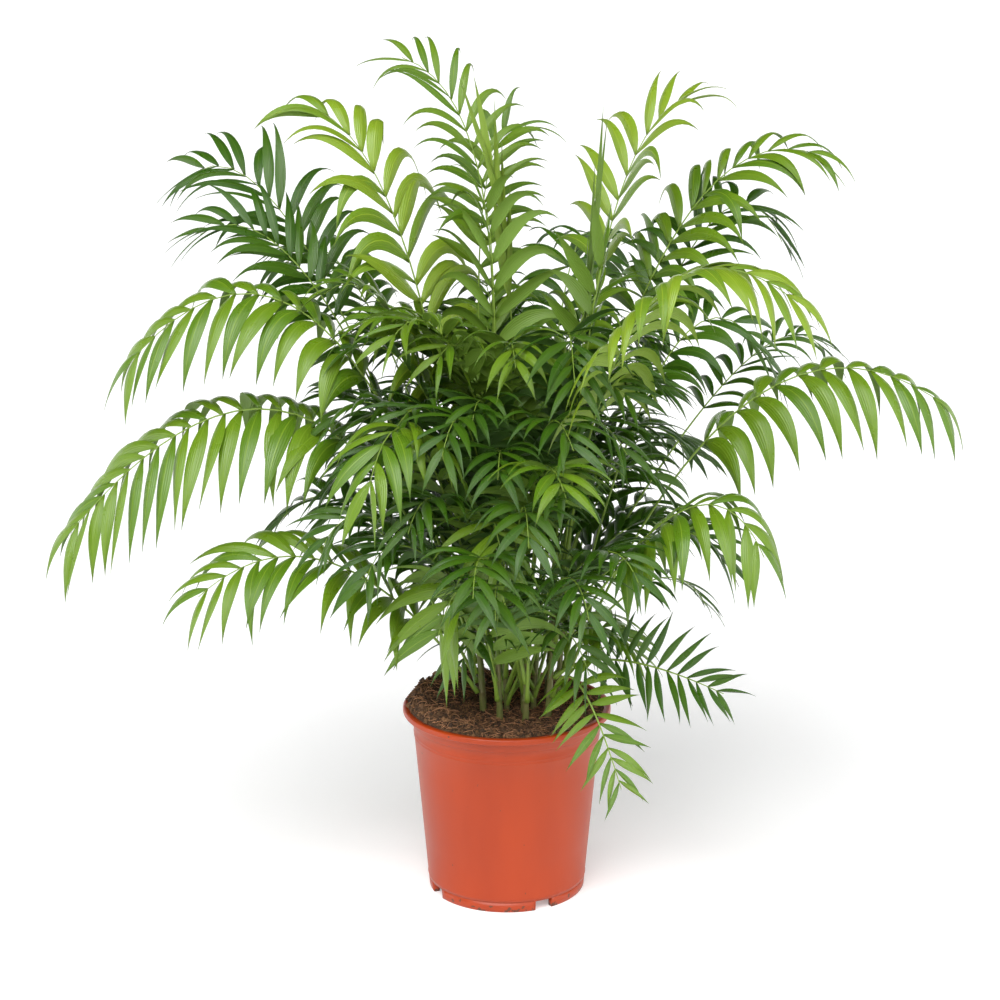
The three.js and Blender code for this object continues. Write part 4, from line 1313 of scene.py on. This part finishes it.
class PALM_OT_canes(bpy.types.Operator):
    """Raises the canes, ringed where each frond leaves"""

    bl_idname = "palm.canes"
    bl_label = "Canes"

    def execute(self, context):
        material = cane_material(context.scene.palm_plant)
        for index, carried in enumerate(CANE_LOADS):
            mesh = self.cane(CANE, index, len(carried))
            add_piece(f"palm_cane_{index + 1}", mesh, [material], [f"cane_{index + 1}"])
        for index in range(SHOOT.count):
            mesh = self.cane(SHOOT, index, SHOOT.fronds)
            add_piece(f"palm_shoot_stem_{index + 1}", mesh, [material], [f"shoot_{index + 1}"])
        return {"FINISHED"}

    def cane(self, ring, index, carried):
        """A tapering stem with a swelling and a groove at each seat."""
        height = ring.height(carried)
        stations = list(STEM_FOOT)
        for rank in range(carried):
            seat = ring.first + ring.spacing * rank
            stations += [(seat + along, swell) for along, swell in STEM_SEAT]
        bm = bmesh.new()
        circle = bmesh.ops.create_circle(bm, cap_ends=False, segments=STEM_SIDES, radius=1)["verts"]
        loop = list({edge for vert in circle for edge in vert.link_edges})
        bm.faces.new(circle)
        for step, (along, swell) in enumerate(stations):
            radius = (ring.foot + (ring.top - ring.foot) * max(0, along) / height) * swell
            if step:
                grown = bmesh.ops.extrude_edge_only(bm, edges=loop)["geom"]
                circle = [part for part in grown if isinstance(part, bmesh.types.BMVert)]
                loop = [part for part in grown if isinstance(part, bmesh.types.BMEdge)]
            centre = Vector(ring.point(index, along))
            for k, vert in enumerate(circle):
                flat = Vector((vert.co.x - last.x, vert.co.y - last.y, 0)) if step else vert.co.copy()
                vert.co = centre + flat.normalized() * radius
            last = centre
        bmesh.ops.contextual_create(bm, geom=loop)
        return mesh_from_bmesh("cane", bm)


class PALM_OT_fronds(bpy.types.Operator):
    """Grows the fronds that arch out round the crown and at the back"""

    bl_idname = "palm.fronds"
    bl_label = "Crown fronds"

    def execute(self, context):
        finishes = leaf_finishes()
        for frond in (frond for frond in FRONDS if frond.shoot < 0):
            leaves = leaflet_mesh(frond.name, [frond])
            add_piece(f"leaflets_{frond.name}", leaves, finishes[frond.tone], frond.nodes)
            rib = rib_mesh(frond.name, [frond])
            add_piece(f"rib_{frond.name}", rib, [rib_finish()], frond.nodes)
        return {"FINISHED"}


class PALM_OT_shoots(bpy.types.Operator):
    """Fills the middle of the clump with the inner shoots' fronds"""

    bl_idname = "palm.shoots"
    bl_label = "Inner shoots"

    def execute(self, context):
        finishes = leaf_finishes()
        for index in range(SHOOT.count):
            fronds = [frond for frond in FRONDS if frond.shoot == index]
            node = f"shoot_{index + 1}"
            for tone in sorted({frond.tone for frond in fronds}):
                alike = [frond for frond in fronds if frond.tone == tone]
                leaves = leaflet_mesh(f"{node}_{tone}", alike)
                add_piece(f"leaflets_{node}_{tone}", leaves, finishes[tone], [node])
            rib = rib_mesh(node, fronds)
            add_piece(f"ribs_{node}", rib, [rib_finish()], [node])
        return {"FINISHED"}


OPERATORS = (PALM_OT_stage, PALM_OT_pot, PALM_OT_soil, PALM_OT_canes, PALM_OT_fronds, PALM_OT_shoots)


class PALM_PT_panel(bpy.types.Panel):
    """Lists the steps and their settings"""

    bl_idname = "PALM_PT_panel"
    bl_label = "Parlour Palm"
    bl_space_type = "VIEW_3D"
    bl_region_type = "UI"
    bl_category = "Palm"

    def draw(self, context):
        for operator in OPERATORS:
            self.layout.operator(operator.bl_idname)
        for name, group in SETTINGS.items():
            box = self.layout.box()
            box.label(text=group.__doc__.splitlines()[0])
            for key in group.__annotations__:
                box.prop(getattr(context.scene, name), key)


SETTINGS = {
    "palm_stage": StageSettings,
    "palm_pot": PotSettings,
    "palm_soil": SoilSettings,
    "palm_plant": PlantSettings,
}


def register():
    for group in SETTINGS.values():
        bpy.utils.register_class(group)
    for name, group in SETTINGS.items():
        setattr(bpy.types.Scene, name, PointerProperty(type=group))
    for operator in OPERATORS:
        bpy.utils.register_class(operator)
    bpy.utils.register_class(PALM_PT_panel)


def unregister():
    bpy.utils.unregister_class(PALM_PT_panel)
    for operator in reversed(OPERATORS):
        bpy.utils.unregister_class(operator)
    for name in SETTINGS:
        delattr(bpy.types.Scene, name)
    for group in reversed(list(SETTINGS.values())):
        bpy.utils.unregister_class(group)


def main():
    register()
    bpy.ops.palm.stage()
    bpy.ops.palm.pot()
    bpy.ops.palm.soil()
    bpy.ops.palm.canes()
    bpy.ops.palm.fronds()
    bpy.ops.palm.shoots()
    if SOLIDS - REPLACED:
        raise RuntimeError(f"Solids with no piece in their place: {sorted(SOLIDS - REPLACED)}")


if __name__ == "__main__":
    main()
